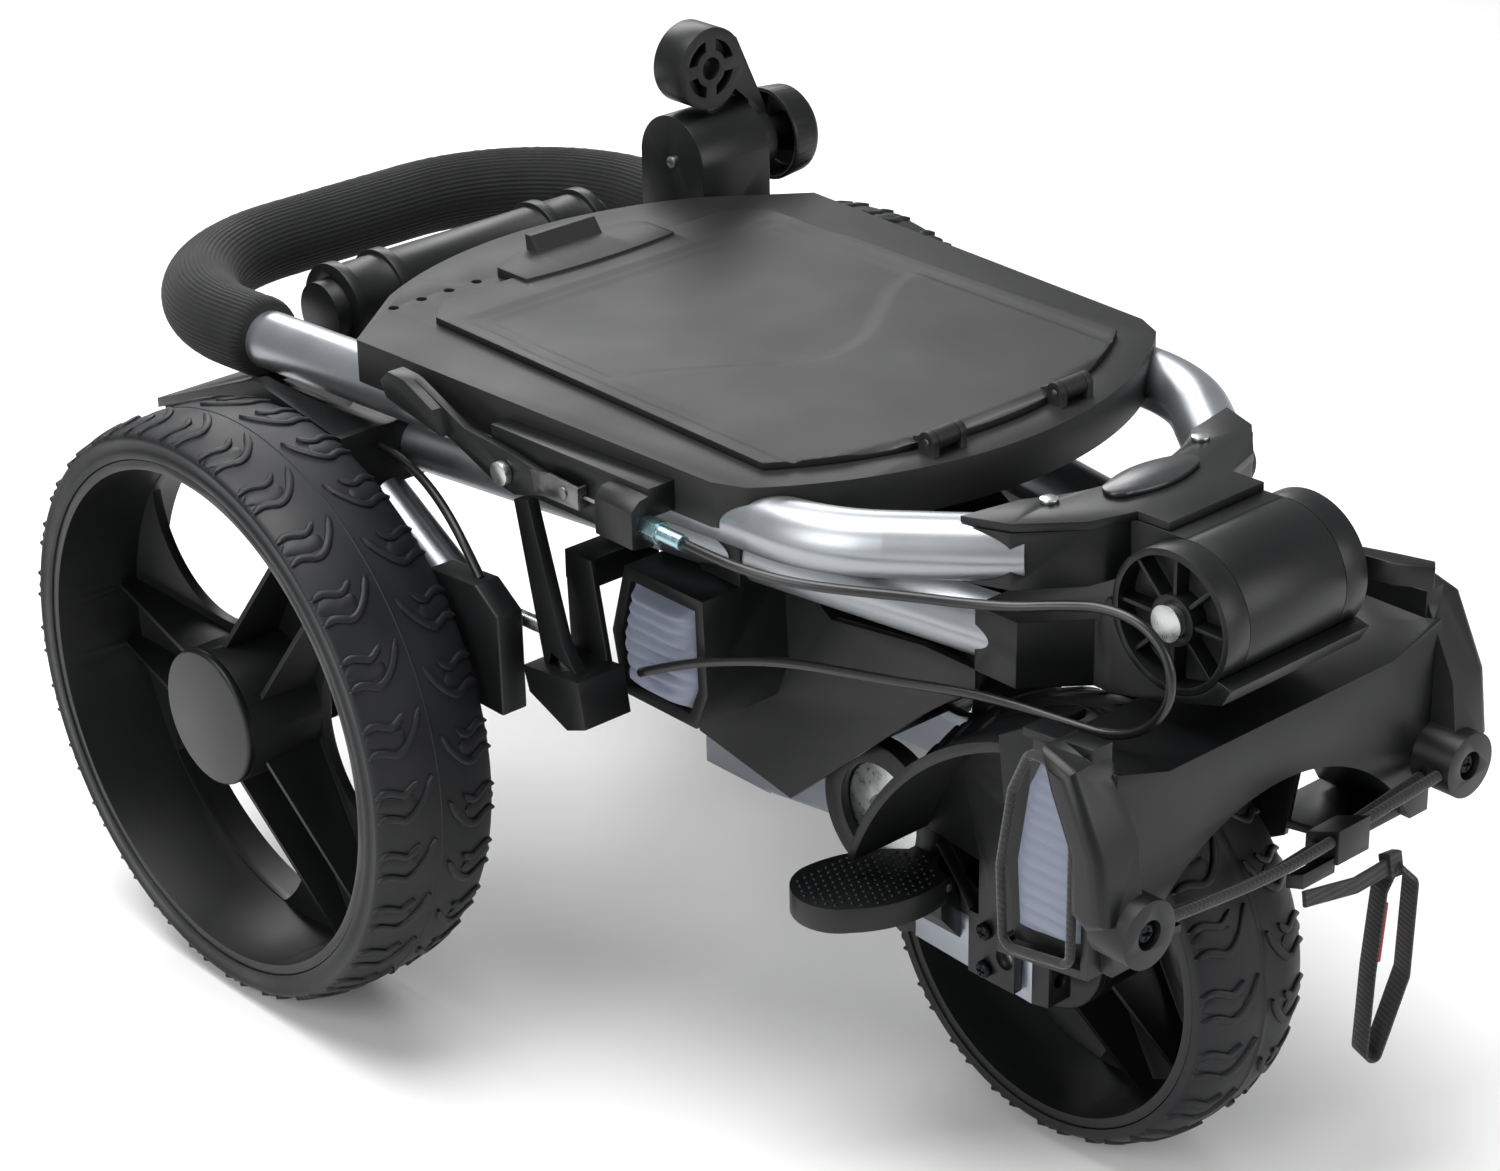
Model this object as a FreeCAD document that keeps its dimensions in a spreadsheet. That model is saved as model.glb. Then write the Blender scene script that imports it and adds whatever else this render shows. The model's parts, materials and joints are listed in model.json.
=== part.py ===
import FreeCAD, Part
import Sketcher
import math
import os
import re

# Folding three-wheel golf push trolley, stored flat on its wheels.
# +X is the trolley's right, +Y its rear, +Z up; the rear axle and the floor are the two datums that the
# pieces are drawn from, and axle_y carries them to the frame's origin under the middle of the whole.
V = FreeCAD.Vector
X, Y, Z = V(1, 0, 0), V(0, 1, 0), V(0, 0, 1)
doc = FreeCAD.newDocument("golf_trolley")

# ---------------------------------------------------------------- driving dimensions
SIZES = """
axle_y 139.5 | rear axle behind the frame's origin
run_gap 0.05 | radial clearance of pins and shafts
part_gap 0.3 | clearance between covers and what they go over
wheel_dia 290 | rear wheel over the tread
wheel_width 65.2 | rear wheel over its faces
seat_dia 254 | rim seat that the rear tyre grips
crown 5 | fall of the rear tread at its shoulders
track 384.4 | between the middles of the rear wheels
hub_dia 67 | hub and hub cap
cap_recess 4 | hub cap face inside the wheel's face
cap_thick 4 | hub cap
rim_wall 4.5 | rim barrel
web_thick 5 | wheel web
web_inset 14 | web to the wheel's inner face
window_dia 110 | round windows in the web
axle_dia 12 | stub axles
bush_wall 3 | wheel bushes
front_dia 206 | front wheel over the tread
front_seat_dia 176 | rim seat that the front tyre grips
front_crown 8 | fall of the front tread at its shoulders
wheelbase 360.3 | front axle ahead of the rear axle
pivot_back 82.3 | fork pivot behind the front axle
pivot_rise 38 | fork pivot above the front axle
leg_inner 35.5 | fork leg's inner face from the middle
leg_width 14 | fork leg
leg_nose 12 | fork leg ahead of the front axle
leg_back 60 | fork leg behind the front axle
hinge_dia 46 | round hinge plates of the fork
hinge_ring 70 | black hinge yokes over all
pin_dia 10 | fork hinge pins
barrel_ahead 437.4 | main hinge barrel ahead of the rear axle
barrel_height 290 | main hinge barrel above the floor
barrel_dia 62 | main hinge barrel
barrel_length 85.4 | main hinge barrel with its end rings
ring_width 13 | end rings
bolt_dia 12 | main hinge bolt
handle_tilt 1.76 | fall of the stored handle towards the rear, degrees
tube_dia 28 | handle and frame tubes
tube_wall 1.8 | handle and frame tubes
tube_rise 19 | handle tube above the barrel's axis
tube_start 62 | handle tube ends behind the barrel's axis
tube_front 60 | handle tube ends from the middle
shoulder_reach 128.6 | shoulder corners behind the barrel's axis
shoulder_half 114 | shoulder corners from the middle
shoulder_bend 85 | bend at the shoulders
handle_reach 615.4 | rear run behind the barrel's axis
handle_half 135 | rear corners from the middle
rear_bend 90 | bend at the rear corners
grip_dia 39 | foam grip
grip_start 497 | foam grip ends behind the barrel's axis
console_top 322.5 | console deck above the floor
console_deep 20.5 | console skirt
console_wall 3 | console walls
console_half 142.5 | console sides from the middle
lid_half 105 | lid sides from the middle
lid_thick 3 | lid
lid_axis_y 304.5 | lid hinge ahead of the rear axle
knuckle_half 38.7 | lid hinge knuckles from the middle
knuckle_dia 9 | lid hinge knuckles
lid_pin_dia 3 | lid hinge pins
tee_dia 5.2 | tee holes
tee_pitch 16.3 | between tee holes
holder_y 30 | umbrella holder axis behind the rear axle
holder_z 334 | umbrella holder axis above the floor
holder_dia 48 | umbrella holder base
ring_rise 47 | umbrella ring above the holder axis
ring_x 119 | umbrella ring from the middle
ring_dia 42 | umbrella ring over all
ring_bore 11.4 | umbrella shaft hole
ring_deep 20 | umbrella ring along its hole
rail_rear 112 | frame tubes from the middle at the rear axle
rail_front 52 | frame tubes from the middle at their front ends
rail_height 262 | frame tubes above the floor
rail_length 372 | frame tubes ahead of the rear axle
stub_half 41.5 | beam behind the fork, outside, from the middle
stub_low 114 | beam behind the fork, underside
stub_high 145 | beam behind the fork, top
lever_x 149 | brake lever plane from the middle
lever_y 148 | brake lever pivot ahead of the rear axle
lever_z 297 | brake lever pivot above the floor
cable_dia 4.4 | brake cable
bungee_dia 5 | bag cord
boss_x 100.8 | cord bosses from the middle
boss_z 189 | cord bosses above the floor
arch_front 464 | bag arch's front ahead of the rear axle
arch_rear 413 | bag arch's rear ahead of the rear axle
"""
sheet = doc.addObject("Spreadsheet::Sheet", "Sizes")
NAMES = set()
for row, line in enumerate(SIZES.strip().splitlines(), 1):
    setting, note = line.split(" | ")
    name, value = setting.split()
    sheet.set("A%d" % row, name)
    sheet.set("B%d" % row, value)
    sheet.set("C%d" % row, note)
    sheet.setAlias("B%d" % row, name)
    NAMES.add(name)
doc.recompute()


def bound(text):
    """An expression with the sheet's name in front of each size."""
    return re.sub(r"[a-z]\w*", lambda word: "Sizes." + word[0] if word[0] in NAMES else word[0], str(text))


def size(text):
    """The value of an expression of sizes."""
    return float(sheet.evalExpression(bound(text)))


# ---------------------------------------------------------------- small helpers
def place(item, x="0", y="0", z="0", axis=X, angle="0"):
    """Bind an object's placement; y counts from the rear axle."""
    item.Placement = FreeCAD.Placement(V(), FreeCAD.Rotation(axis, size(angle) or 1e-9))
    item.setExpression("Placement.Base.x", bound(x))
    item.setExpression("Placement.Base.y", bound("axle_y + (%s)" % y))
    item.setExpression("Placement.Base.z", bound(z))
    if angle != "0":
        item.setExpression("Placement.Rotation.Angle", bound("(%s) * 1 deg" % angle))


def new_body(label, **where):
    item = doc.addObject("PartDesign::Body", label)
    item.Label = label
    place(item, **where)
    return item


HANDLE = {"y": "-barrel_ahead", "z": "barrel_height", "angle": "-handle_tilt"}
NORMALS = {"XY": 1, "XZ": -1, "YZ": 1}


def new_sketch(body, plane, lift="0"):
    """A sketch on one of the body's own origin planes, lifted along the axis that the plane faces."""
    item = body.newObject("Sketcher::SketchObject", "Sketch")
    face = [part for part in body.Origin.OriginFeatures if part.Role == plane + "_Plane"][0]
    item.AttachmentSupport = (face, [""])
    item.MapMode = "FlatFace"
    item.setExpression("AttachmentOffset.Base.z", bound("%d * (%s)" % (NORMALS[plane], lift)))
    return item


def pin_point(item, geometry, point, x, y):
    for kind, value in (("DistanceX", x), ("DistanceY", y)):
        rule = item.addConstraint(Sketcher.Constraint(kind, geometry, point, size(value)))
        item.setExpression("Constraints[%d]" % rule, bound(value))


def draw_outline(item, corners, arcs=None):
    """A closed outline through corners; arcs gives a side's radius and a point that its arc passes."""
    arcs = arcs or {}
    first = item.GeometryCount
    count = len(corners)
    spots = [V(size(x), size(y), 0) for x, y in corners]
    starts = {}
    for side in range(count):
        here, there = spots[side], spots[(side + 1) % count]
        if side in arcs:
            radius, (through_x, through_y) = arcs[side]
            curve = Part.Arc(here, V(size(through_x), size(through_y), 0), there)
            number = item.addGeometry(curve, False)
            begins = item.getPoint(number, 1).distanceToPoint(here) < 1e-6
            starts[side] = (number, 1 if begins else 2)
        else:
            number = item.addGeometry(Part.LineSegment(here, there), False)
            starts[side] = (number, 1)
    for side in range(count):
        number, start = starts[side]
        following, begin = starts[(side + 1) % count]
        item.addConstraint(Sketcher.Constraint("Coincident", number, 3 - start, following, begin))
    for side, (x, y) in enumerate(corners):
        number, start = starts[side]
        pin_point(item, number, start, x, y)
    for side, (radius, through) in arcs.items():
        rule = item.addConstraint(Sketcher.Constraint("Radius", starts[side][0], size(radius)))
        item.setExpression("Constraints[%d]" % rule, bound(radius))
    return first


def draw_circle(item, x, y, radius):
    number = item.addGeometry(Part.Circle(V(size(x), size(y), 0), Z, size(radius)), False)
    pin_point(item, number, 3, x, y)
    rule = item.addConstraint(Sketcher.Constraint("Radius", number, size(radius)))
    item.setExpression("Constraints[%d]" % rule, bound(radius))


def feature(body, kind, profile, length):
    item = body.newObject("PartDesign::" + kind, kind)
    item.Profile = profile
    item.setExpression("Length", bound(length))
    return item


def slab(body, plane, start, end, corners, arcs=None):
    """Add an outline's solid between two levels across its plane."""
    lift = end if plane == "XZ" else start
    item = new_sketch(body, plane, lift)
    draw_outline(item, corners, arcs)
    return feature(body, "Pad", item, "(%s) - (%s)" % (end, start))


def hollow(body, plane, start, end, corners, arcs=None):
    """Cut an outline's solid between two levels across its plane."""
    lift = start if plane == "XZ" else end
    item = new_sketch(body, plane, lift)
    draw_outline(item, corners, arcs)
    return feature(body, "Pocket", item, "(%s) - (%s)" % (end, start))


def rod(body, plane, start, end, x, y, radius):
    """Add a round solid between two levels across its plane."""
    lift = end if plane == "XZ" else start
    item = new_sketch(body, plane, lift)
    draw_circle(item, x, y, radius)
    return feature(body, "Pad", item, "(%s) - (%s)" % (end, start))


def bore(body, plane, start, end, x, y, radius):
    """Cut a round hole between two levels across its plane."""
    lift = start if plane == "XZ" else end
    item = new_sketch(body, plane, lift)
    draw_circle(item, x, y, radius)
    return feature(body, "Pocket", item, "(%s) - (%s)" % (end, start))


def box(x0, x1, y0, y1):
    """The corners of an upright rectangle."""
    return [(x0, y0), (x1, y0), (x1, y1), (x0, y1)]


def spin(body, plane, corners, arcs=None):
    """Turn an outline about its plane's horizontal axis."""
    item = new_sketch(body, plane)
    draw_outline(item, corners, arcs)
    turned = body.newObject("PartDesign::Revolution", "Revolution")
    turned.Profile = item
    turned.ReferenceAxis = (item, ["H_Axis"])
    turned.Angle = 360
    return turned


def repeat_round(body, originals, count):
    """Repeat features about the body's X axis."""
    item = body.newObject("PartDesign::PolarPattern", "PolarPattern")
    item.Originals = originals
    axis = [part for part in body.Origin.OriginFeatures if part.Role == "X_Axis"][0]
    item.Axis = (axis, [""])
    item.Angle = 360
    item.Occurrences = count
    body.Tip = item


def is_along(edge, axis):
    if not isinstance(edge.Curve, (Part.Line, Part.LineSegment)):
        return False
    return abs(edge.tangentAt(edge.FirstParameter).dot(axis)) > 0.999


def soften(body, radius, wanted):
    """Fillet the edges of the body's last feature that a test picks."""
    doc.recompute()
    base = body.Tip
    names = ["Edge%d" % (i + 1) for i, edge in enumerate(base.Shape.Edges) if wanted(edge)]
    item = body.newObject("PartDesign::Fillet", "Fillet")
    item.Base = (base, names)
    item.setExpression("Radius", bound(radius))
    doc.recompute()
    return item


def join(kind, label, first, second):
    """A boolean of two objects."""
    item = doc.addObject("Part::" + kind, label)
    item.Base = first
    item.Tool = second
    item.Label = label
    return item


def mirrored(item):
    """The same piece on the trolley's other side."""
    twin = doc.addObject("Part::Mirroring", item.Label + "_right")
    twin.Source = item
    twin.Normal = X
    return twin


def group(label, *items):
    """Separate solids that share one node."""
    item = doc.addObject("Part::Compound", label)
    item.Links = list(items)
    item.Label = label
    return item


def melt(label, *items):
    """Several objects made one solid."""
    item = doc.addObject("Part::MultiFuse", label)
    item.Shapes = list(items)
    item.Label = label
    return item


def draw_route(item, corners, radii):
    """An open or closed line of straight runs with tangent arcs at its inner corners."""
    spots = [V(size(x), size(y), 0) for x, y in corners]
    cuts = []
    for here in range(1, len(spots) - 1):
        back = (spots[here - 1] - spots[here]).normalize()
        ahead = (spots[here + 1] - spots[here]).normalize()
        half = (math.pi - back.getAngle(ahead)) / 2
        reach = size(radii[here - 1]) * math.tan(half)
        toward = (back + ahead).normalize()
        middle = spots[here] + toward * (size(radii[here - 1]) / math.cos(half))
        crest = middle - toward * size(radii[here - 1])
        cuts.append((spots[here] + back * reach, crest, spots[here] + ahead * reach))
    runs, bends = [], []
    begin = spots[0]
    for enter, crest, leave in cuts:
        runs.append(item.addGeometry(Part.LineSegment(begin, enter), False))
        bends.append(item.addGeometry(Part.Arc(enter, crest, leave), False))
        begin = leave
    runs.append(item.addGeometry(Part.LineSegment(begin, spots[-1]), False))
    for order, bend in enumerate(bends):
        begins = item.getPoint(bend, 1).distanceToPoint(cuts[order][0]) < 1e-6
        enter_end, leave_end = (1, 2) if begins else (2, 1)
        item.addConstraint(Sketcher.Constraint("Tangent", runs[order], 2, bend, enter_end))
        item.addConstraint(Sketcher.Constraint("Tangent", bend, leave_end, runs[order + 1], 1))
        rule = item.addConstraint(Sketcher.Constraint("Radius", bend, size(radii[order])))
        item.setExpression("Constraints[%d]" % rule, bound(radii[order]))
        x, y = corners[order + 1]
        mark = item.addGeometry(Part.Point(spots[order + 1]), True)
        pin_point(item, mark, 1, x, y)
        item.addConstraint(Sketcher.Constraint("PointOnObject", mark, 1, runs[order]))
        item.addConstraint(Sketcher.Constraint("PointOnObject", mark, 1, runs[order + 1]))
    pin_point(item, runs[0], 1, *corners[0])
    pin_point(item, runs[-1], 2, *corners[-1])


def pipe(body, plane, lift, corners, radii, circles):
    """Sweep one or two circles along a route."""
    route = new_sketch(body, plane, lift)
    draw_route(route, corners, radii)
    doc.recompute()
    section = body.newObject("Sketcher::SketchObject", "Section")
    section.AttachmentSupport = (route, ["Edge1"])
    section.MapMode = "NormalToEdge"
    section.MapPathParameter = 0
    for radius in circles:
        draw_circle(section, "0", "0", radius)
    item = body.newObject("PartDesign::AdditivePipe", "Pipe")
    item.Profile = section
    item.Spine = (route, ["Edge%d" % (i + 1) for i in range(2 * len(corners) - 3)])
    return item


def cord(points, dia, label):
    """A round cord along straight runs joined by tangent arcs, each as large as its runs allow."""
    spots = [V(x, y + size("axle_y"), z) for x, y, z in points]
    edges, radii = [], []
    begin = spots[0]
    for back, here, ahead in zip(spots, spots[1:], spots[2:]):
        shorter = min((back - here).Length, (ahead - here).Length)
        behind, before = (back - here).normalize(), (ahead - here).normalize()
        half = (math.pi - behind.getAngle(before)) / 2
        reach = 0.45 * shorter
        radius = reach / math.tan(half)
        toward = (behind + before).normalize()
        crest = here + toward * (radius / math.cos(half) - radius)
        edges.append(Part.LineSegment(begin, here + behind * reach).toShape())
        edges.append(Part.Arc(here + behind * reach, crest, here + before * reach).toShape())
        begin = here + before * reach
        radii.append(radius)
    edges.append(Part.LineSegment(begin, spots[-1]).toShape())
    line = Part.Wire(edges)
    ring = Part.Wire(Part.makeCircle(dia / 2, spots[0], spots[1] - spots[0]))
    solid = line.makePipeShell([ring], True, False)
    print(label, "radii", [round(radius, 1) for radius in radii], "length %.0f" % line.Length,
          "volume ratio %.4f" % (solid.Volume / (line.Length * math.pi * dia * dia / 4)))
    return solid


def set_shape(label, solids):
    item = doc.addObject("Part::Feature", label)
    item.Shape = solids[0] if len(solids) == 1 else Part.makeCompound(solids)
    item.Placement = FreeCAD.Placement()
    item.Label = label
    return item


# ---------------------------------------------------------------- wheels
def make_wheel(side, dia, seat, fall, where):
    """A plastic rim with three flared spokes, its rubber tyre, hub cap and bush, on its own X axis."""
    half = "wheel_width / 2"
    shoulder = "%s / 2 - %s" % (dia, fall)
    tyre = new_body(side + "_tyre", **where)
    crown_radius = "(pow(%s - 3; 2) + pow(%s; 2)) / (2 * %s)" % (half, fall, fall)
    spin(tyre, "XY", [("-(%s)" % half, seat + " / 2"), (half, seat + " / 2"),
                      (half, shoulder + " - 3"), (half + " - 3", shoulder),
                      ("-(%s) + 3" % half, shoulder), ("-(%s)" % half, shoulder + " - 3")],
         {3: (crown_radius, ("0", dia + " / 2"))})

    rim = new_body(side + "_rim", **where)
    outer, inner = seat + " / 2", seat + " / 2 - rim_wall"
    face = half + " - 1"
    web = half + " - web_inset"
    hub_end = "-(%s) + cap_recess + cap_thick" % half
    bore_radius = "axle_dia / 2 + run_gap + bush_wall"
    spin(rim, "XY", [("-(%s)" % face, inner), (web + " - web_thick", inner),
                     (web + " - web_thick", "hub_dia / 2"), (hub_end, "hub_dia / 2"),
                     (hub_end, bore_radius), (face, bore_radius), (face, "hub_dia / 4"),
                     (web, "hub_dia / 2"), (web, inner), (face, inner), (face, outer),
                     ("-(%s)" % face, outer)])
    middle = "(hub_dia / 2 + window_dia / 2 * (%s) / 127)" % outer
    window = "(window_dia / 2 * (%s) / 127)" % outer
    side_x = "((pow(%s - 0.5; 2) - pow(%s; 2) + pow(%s; 2)) / (2 * %s))" % (inner, window, middle, middle)
    side_y = "sqrt(pow(%s - 0.5; 2) - pow(%s; 2))" % (inner, side_x)
    opening = hollow(rim, "YZ", web + " - web_thick - 1", web + " + 1",
                     [("-" + side_x, side_y), ("-" + side_x, "-" + side_y)],
                     {0: (inner + " - 0.5", ("0.5 - (%s)" % inner, "0")),
                      1: (window, ("%s - %s" % (window, middle), "0"))})
    repeat_round(rim, [opening], 3)
    ribs = []
    for rib_side in (-1, 1):
        ribs.append(slab(rim, "XY", "%d * 16 - 1.25" % rib_side, "%d * 16 + 1.25" % rib_side,
                         [(web + " - web_thick + 1", "hub_dia / 2 - 6"),
                          (web + " - web_thick + 1", inner + " + 1"),
                          (web + " - web_thick - 9", inner + " + 1"), (hub_end + " + 8", "hub_dia / 2 - 6")]))
    repeat_round(rim, ribs, 3)

    caps = new_body(side + "_hub_cap", **where)
    spin(caps, "XY", [("-(%s) + cap_recess" % half, "0"), (hub_end, "0"), (hub_end, "hub_dia / 2"),
                      ("-(%s) + cap_recess + 1" % half, "hub_dia / 2"),
                      ("-(%s) + cap_recess" % half, "hub_dia / 2 - 1")])

    if side == "front":
        bore(caps, "YZ", "-(%s)" % half, hub_end + " + 1", "0", "0", "axle_dia / 2")

    bush = new_body(side + "_bush", **where)
    spin(bush, "XY", [(hub_end + " + 14", "axle_dia / 2 + run_gap"), (face, "axle_dia / 2 + run_gap"),
                      (face, bore_radius), (hub_end + " + 14", bore_radius)])
    return [tyre, rim, caps, bush]


nodes = []
nodes += make_wheel("left", "wheel_dia", "seat_dia", "crown", {"x": "-track / 2", "z": "wheel_dia / 2"})
nodes += make_wheel("right", "wheel_dia", "seat_dia", "crown",
                    {"x": "track / 2", "z": "wheel_dia / 2", "axis": Z, "angle": "180"})
nodes += make_wheel("front", "front_dia", "front_seat_dia", "front_crown",
                    {"y": "-wheelbase", "z": "front_dia / 2"})

# ---------------------------------------------------------------- handle tube, grip and what clears it
HALF_ROUTE = [("tube_front", "tube_start"), ("shoulder_half", "shoulder_reach"),
              ("handle_half", "handle_reach")]
LOOP = [("-" + x, y) for x, y in HALF_ROUTE] + [("handle_half", "handle_reach"), *HALF_ROUTE[-2::-1]]
BENDS = ["shoulder_bend", "rear_bend", "rear_bend", "shoulder_bend"]

handle_tube = new_body("handle_tube", **HANDLE)
pipe(handle_tube, "XY", "tube_rise", LOOP, BENDS, ["tube_dia / 2", "tube_dia / 2 - tube_wall"])
tube_room = new_body("tube_room", **HANDLE)
pipe(tube_room, "XY", "tube_rise", LOOP, BENDS, ["tube_dia / 2 + part_gap"])

# the grip starts on the straight run between the shoulder and the rear corner
grip_x = ("(shoulder_half + (handle_half - shoulder_half) * (grip_start - shoulder_reach)"
          " / (handle_reach - shoulder_reach))")
foam_grip = new_body("foam_grip", **HANDLE)
pipe(foam_grip, "XY", "tube_rise",
     [("-" + grip_x, "grip_start"), ("-handle_half", "handle_reach"),
      ("handle_half", "handle_reach"), (grip_x, "grip_start")],
     ["rear_bend", "rear_bend"], ["grip_dia / 2", "tube_dia / 2 + run_gap"])

grip_room = new_body("grip_room", **HANDLE)
pipe(grip_room, "XY", "tube_rise", LOOP, BENDS, ["grip_dia / 2 + part_gap"])

# ---------------------------------------------------------------- main hinge
# drawn from the barrel's own axis: x across, y behind it, z above it
BARREL = {"y": "-barrel_ahead", "z": "barrel_height"}
inner_half = "(barrel_length / 2 - ring_width)"
yoke_blank = new_body("handle_yoke_blank", **HANDLE)
rod(yoke_blank, "YZ", "-(%s) + part_gap" % inner_half, inner_half + " - part_gap", "0", "0", "barrel_dia / 2")
slab(yoke_blank, "XY", "6", "tube_rise + tube_dia / 2 - 2",
     [("-(%s) + part_gap" % inner_half, "4"), (inner_half + " - part_gap", "4"),
      (inner_half + " - part_gap", "barrel_dia / 2 + 2"), ("tube_front - 10", "barrel_dia / 2 + 7"),
      ("tube_front + 14", "tube_start - 4"), ("tube_front + 22", "tube_start + 18"),
      ("tube_front - 8", "tube_start + 12"), ("-(tube_front - 8)", "tube_start + 12"),
      ("-(tube_front + 22)", "tube_start + 18"), ("-(tube_front + 14)", "tube_start - 4"),
      ("-(tube_front - 10)", "barrel_dia / 2 + 7"), ("-(%s) + part_gap" % inner_half, "barrel_dia / 2 + 2")],
     {6: ("90", ("0", "tube_start + 12 - (90 - sqrt(8100 - pow(tube_front - 8; 2)))"))})
bore(yoke_blank, "YZ", "-barrel_length", "barrel_length", "0", "0", "bolt_dia / 2 + run_gap")
cover_low, cover_high = "tube_rise + tube_dia / 2 - 2 + part_gap", "tube_rise + tube_dia / 2 + 2"
for screw_side in (-1, 1):
    bore(yoke_blank, "XY", cover_low + " - 4", cover_low, "%d * 46" % screw_side, "tube_start + 1", "1.55")
handle_yoke = join("Cut", "handle_yoke", yoke_blank, tube_room)

cover_blank = new_body("yoke_cover_blank", **HANDLE)
slab(cover_blank, "XY", cover_low, cover_high,
     [("-(%s) + 1" % inner_half, "13"), (inner_half + " - 1", "13"),
      (inner_half + " - 1", "barrel_dia / 2 - 1"), ("tube_front - 10", "barrel_dia / 2 + 6"),
      ("tube_front + 13", "tube_start - 4"), ("tube_front + 21", "tube_start + 17"),
      ("tube_front - 8", "tube_start + 11"), ("-(tube_front - 8)", "tube_start + 11"),
      ("-(tube_front + 21)", "tube_start + 17"), ("-(tube_front + 13)", "tube_start - 4"),
      ("-(tube_front - 10)", "barrel_dia / 2 + 6"), ("-(%s) + 1" % inner_half, "barrel_dia / 2 - 1")],
     {6: ("90", ("0", "tube_start + 11 - (90 - sqrt(8100 - pow(tube_front - 8; 2)))"))})
for screw_side in (-1, 1):
    bore(cover_blank, "XY", cover_low + " - 1", cover_high + " + 1", "%d * 46" % screw_side,
         "tube_start + 1", "1.6")
yoke_cover = join("Cut", "yoke_cover", cover_blank, tube_room)

cover_badge = new_body("cover_badge", **HANDLE)
slab(cover_badge, "XY", cover_high, cover_high + " + 2.5",
     [("-20", "tube_start - 20"), ("20", "tube_start - 20"), ("20", "tube_start - 6"),
      ("-20", "tube_start - 6")],
     {0: ("52", ("0", "tube_start - 24")), 1: ("7.02", ("26.5", "tube_start - 13")),
      2: ("52", ("0", "tube_start - 2")), 3: ("7.02", ("-26.5", "tube_start - 13"))})

barrel_end = new_body("barrel_end", **BARREL)
ring_in, ring_out = "-barrel_length / 2 + ring_width", "-barrel_length / 2"
rod(barrel_end, "YZ", ring_out, ring_in, "0", "0", "barrel_dia / 2")
bore(barrel_end, "YZ", ring_out + " - 1", ring_in + " - 3", "0", "0", "barrel_dia / 2 - 3")
rod(barrel_end, "YZ", ring_out + " + 1.5", ring_in + " - 3", "0", "0", "bolt_dia / 2 + 5")
spoke = slab(barrel_end, "XY", "-0.9", "0.9", box(ring_out + " + 2.5", ring_in + " - 2.5",
                                                 "bolt_dia / 2 + 4", "barrel_dia / 2 - 2"))
repeat_round(barrel_end, [spoke], 8)
bore(barrel_end, "YZ", "-barrel_length", "0", "0", "0", "bolt_dia / 2 + run_gap")
barrel_ends = group("barrel_ends", barrel_end, mirrored(barrel_end))

hinge_bolt = new_body("hinge_bolt", **BARREL)
rod(hinge_bolt, "YZ", "-barrel_length / 2 + 1.5", "barrel_length / 2 + 12", "0", "0", "bolt_dia / 2")
rod(hinge_bolt, "YZ", "-barrel_length / 2 - 2.5", "-barrel_length / 2 + 1.5", "0", "0", "bolt_dia / 2 + 2")

quick_release = new_body("quick_release_lever", **BARREL)
slab(quick_release, "YZ", "barrel_length / 2 + 2", "barrel_length / 2 + 14",
     [("-10", "-8"), ("10", "-8"), ("10", "8"), ("-10", "8")])
slab(quick_release, "XY", "-5", "5",
     [("barrel_length / 2 + 9", "-10"), ("barrel_length / 2 + 13", "-34"),
      ("barrel_length / 2 + 22", "-48"), ("barrel_length / 2 + 27", "-44"),
      ("barrel_length / 2 + 22", "-28"), ("barrel_length / 2 + 14", "-6"), ("barrel_length / 2 + 10", "-4")])
bore(quick_release, "YZ", "barrel_length / 2 + 1", "barrel_length / 2 + 12.5", "0", "0",
     "bolt_dia / 2 + run_gap")

yoke_half = "rail_front + tube_dia / 2 + 2"
frame_yoke_blank = new_body("frame_yoke_blank", **BARREL)
yoke_low, yoke_high = "(rail_height - barrel_height) - 15.5", "(rail_height - barrel_height) + 15"
slab(frame_yoke_blank, "YZ", "-barrel_length / 2", "barrel_length / 2",
     [("84", yoke_low), ("84", yoke_high), ("38", yoke_high), ("34", "-1"), ("-33.5", "-19"),
      ("-29", "-27"), ("0", "-36"), ("30", yoke_low)])
slab(frame_yoke_blank, "XY", yoke_low, yoke_high,
     [("-(%s)" % yoke_half, "84"), (yoke_half, "84"), (yoke_half, "60"),
      ("barrel_length / 2", "40"), ("-barrel_length / 2", "40"), ("-(%s)" % yoke_half, "60")])
bore(frame_yoke_blank, "YZ", "-barrel_length", "barrel_length", "0", "0", "barrel_dia / 2 + part_gap")

# ---------------------------------------------------------------- frame
# two tubes run from the rear bridge to the main hinge and come closer on the way
rail_turn = "atan((rail_rear - rail_front) / rail_length)"
rail_run = "sqrt(pow(rail_rear - rail_front; 2) + pow(rail_length; 2))"


def make_rail(label, radius, inner, extra):
    item = new_body(label, x="-rail_rear", z="rail_height", axis=Z, angle="(%s) / 1 deg" % rail_turn)
    rod(item, "XZ", "-(%s) - (%s)" % (rail_run, extra), extra, "0", "0", radius)
    if inner:
        bore(item, "XZ", "-(%s) - 1" % rail_run, "1", "0", "0", inner)
    return item


rail = make_rail("frame_tube", "tube_dia / 2", "tube_dia / 2 - tube_wall", "0")
frame_tubes = group("frame_tubes", rail, mirrored(rail))
rail_room = make_rail("rail_room", "tube_dia / 2 + run_gap", None, "0.5")
both_rooms = group("rail_rooms", rail_room, mirrored(rail_room))
frame_yoke = join("Cut", "frame_yoke", frame_yoke_blank, both_rooms)

# a leg from each tube's rear end down to its axle
leg_blank = new_body("leg_blank", x="-128", y="6", z="256", angle="30")
rod(leg_blank, "XZ", "-112", "0", "0", "0", "12")
bore(leg_blank, "XZ", "-113", "1", "0", "0", "10.2")
leg_cut = join("Cut", "leg_cut", leg_blank, rail_room)
leg_room = new_body("leg_room", x="-128", y="6", z="256", angle="30")
rod(leg_room, "XZ", "-113", "1", "0", "0", "12")
legs = group("legs", leg_cut, mirrored(leg_cut))

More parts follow.
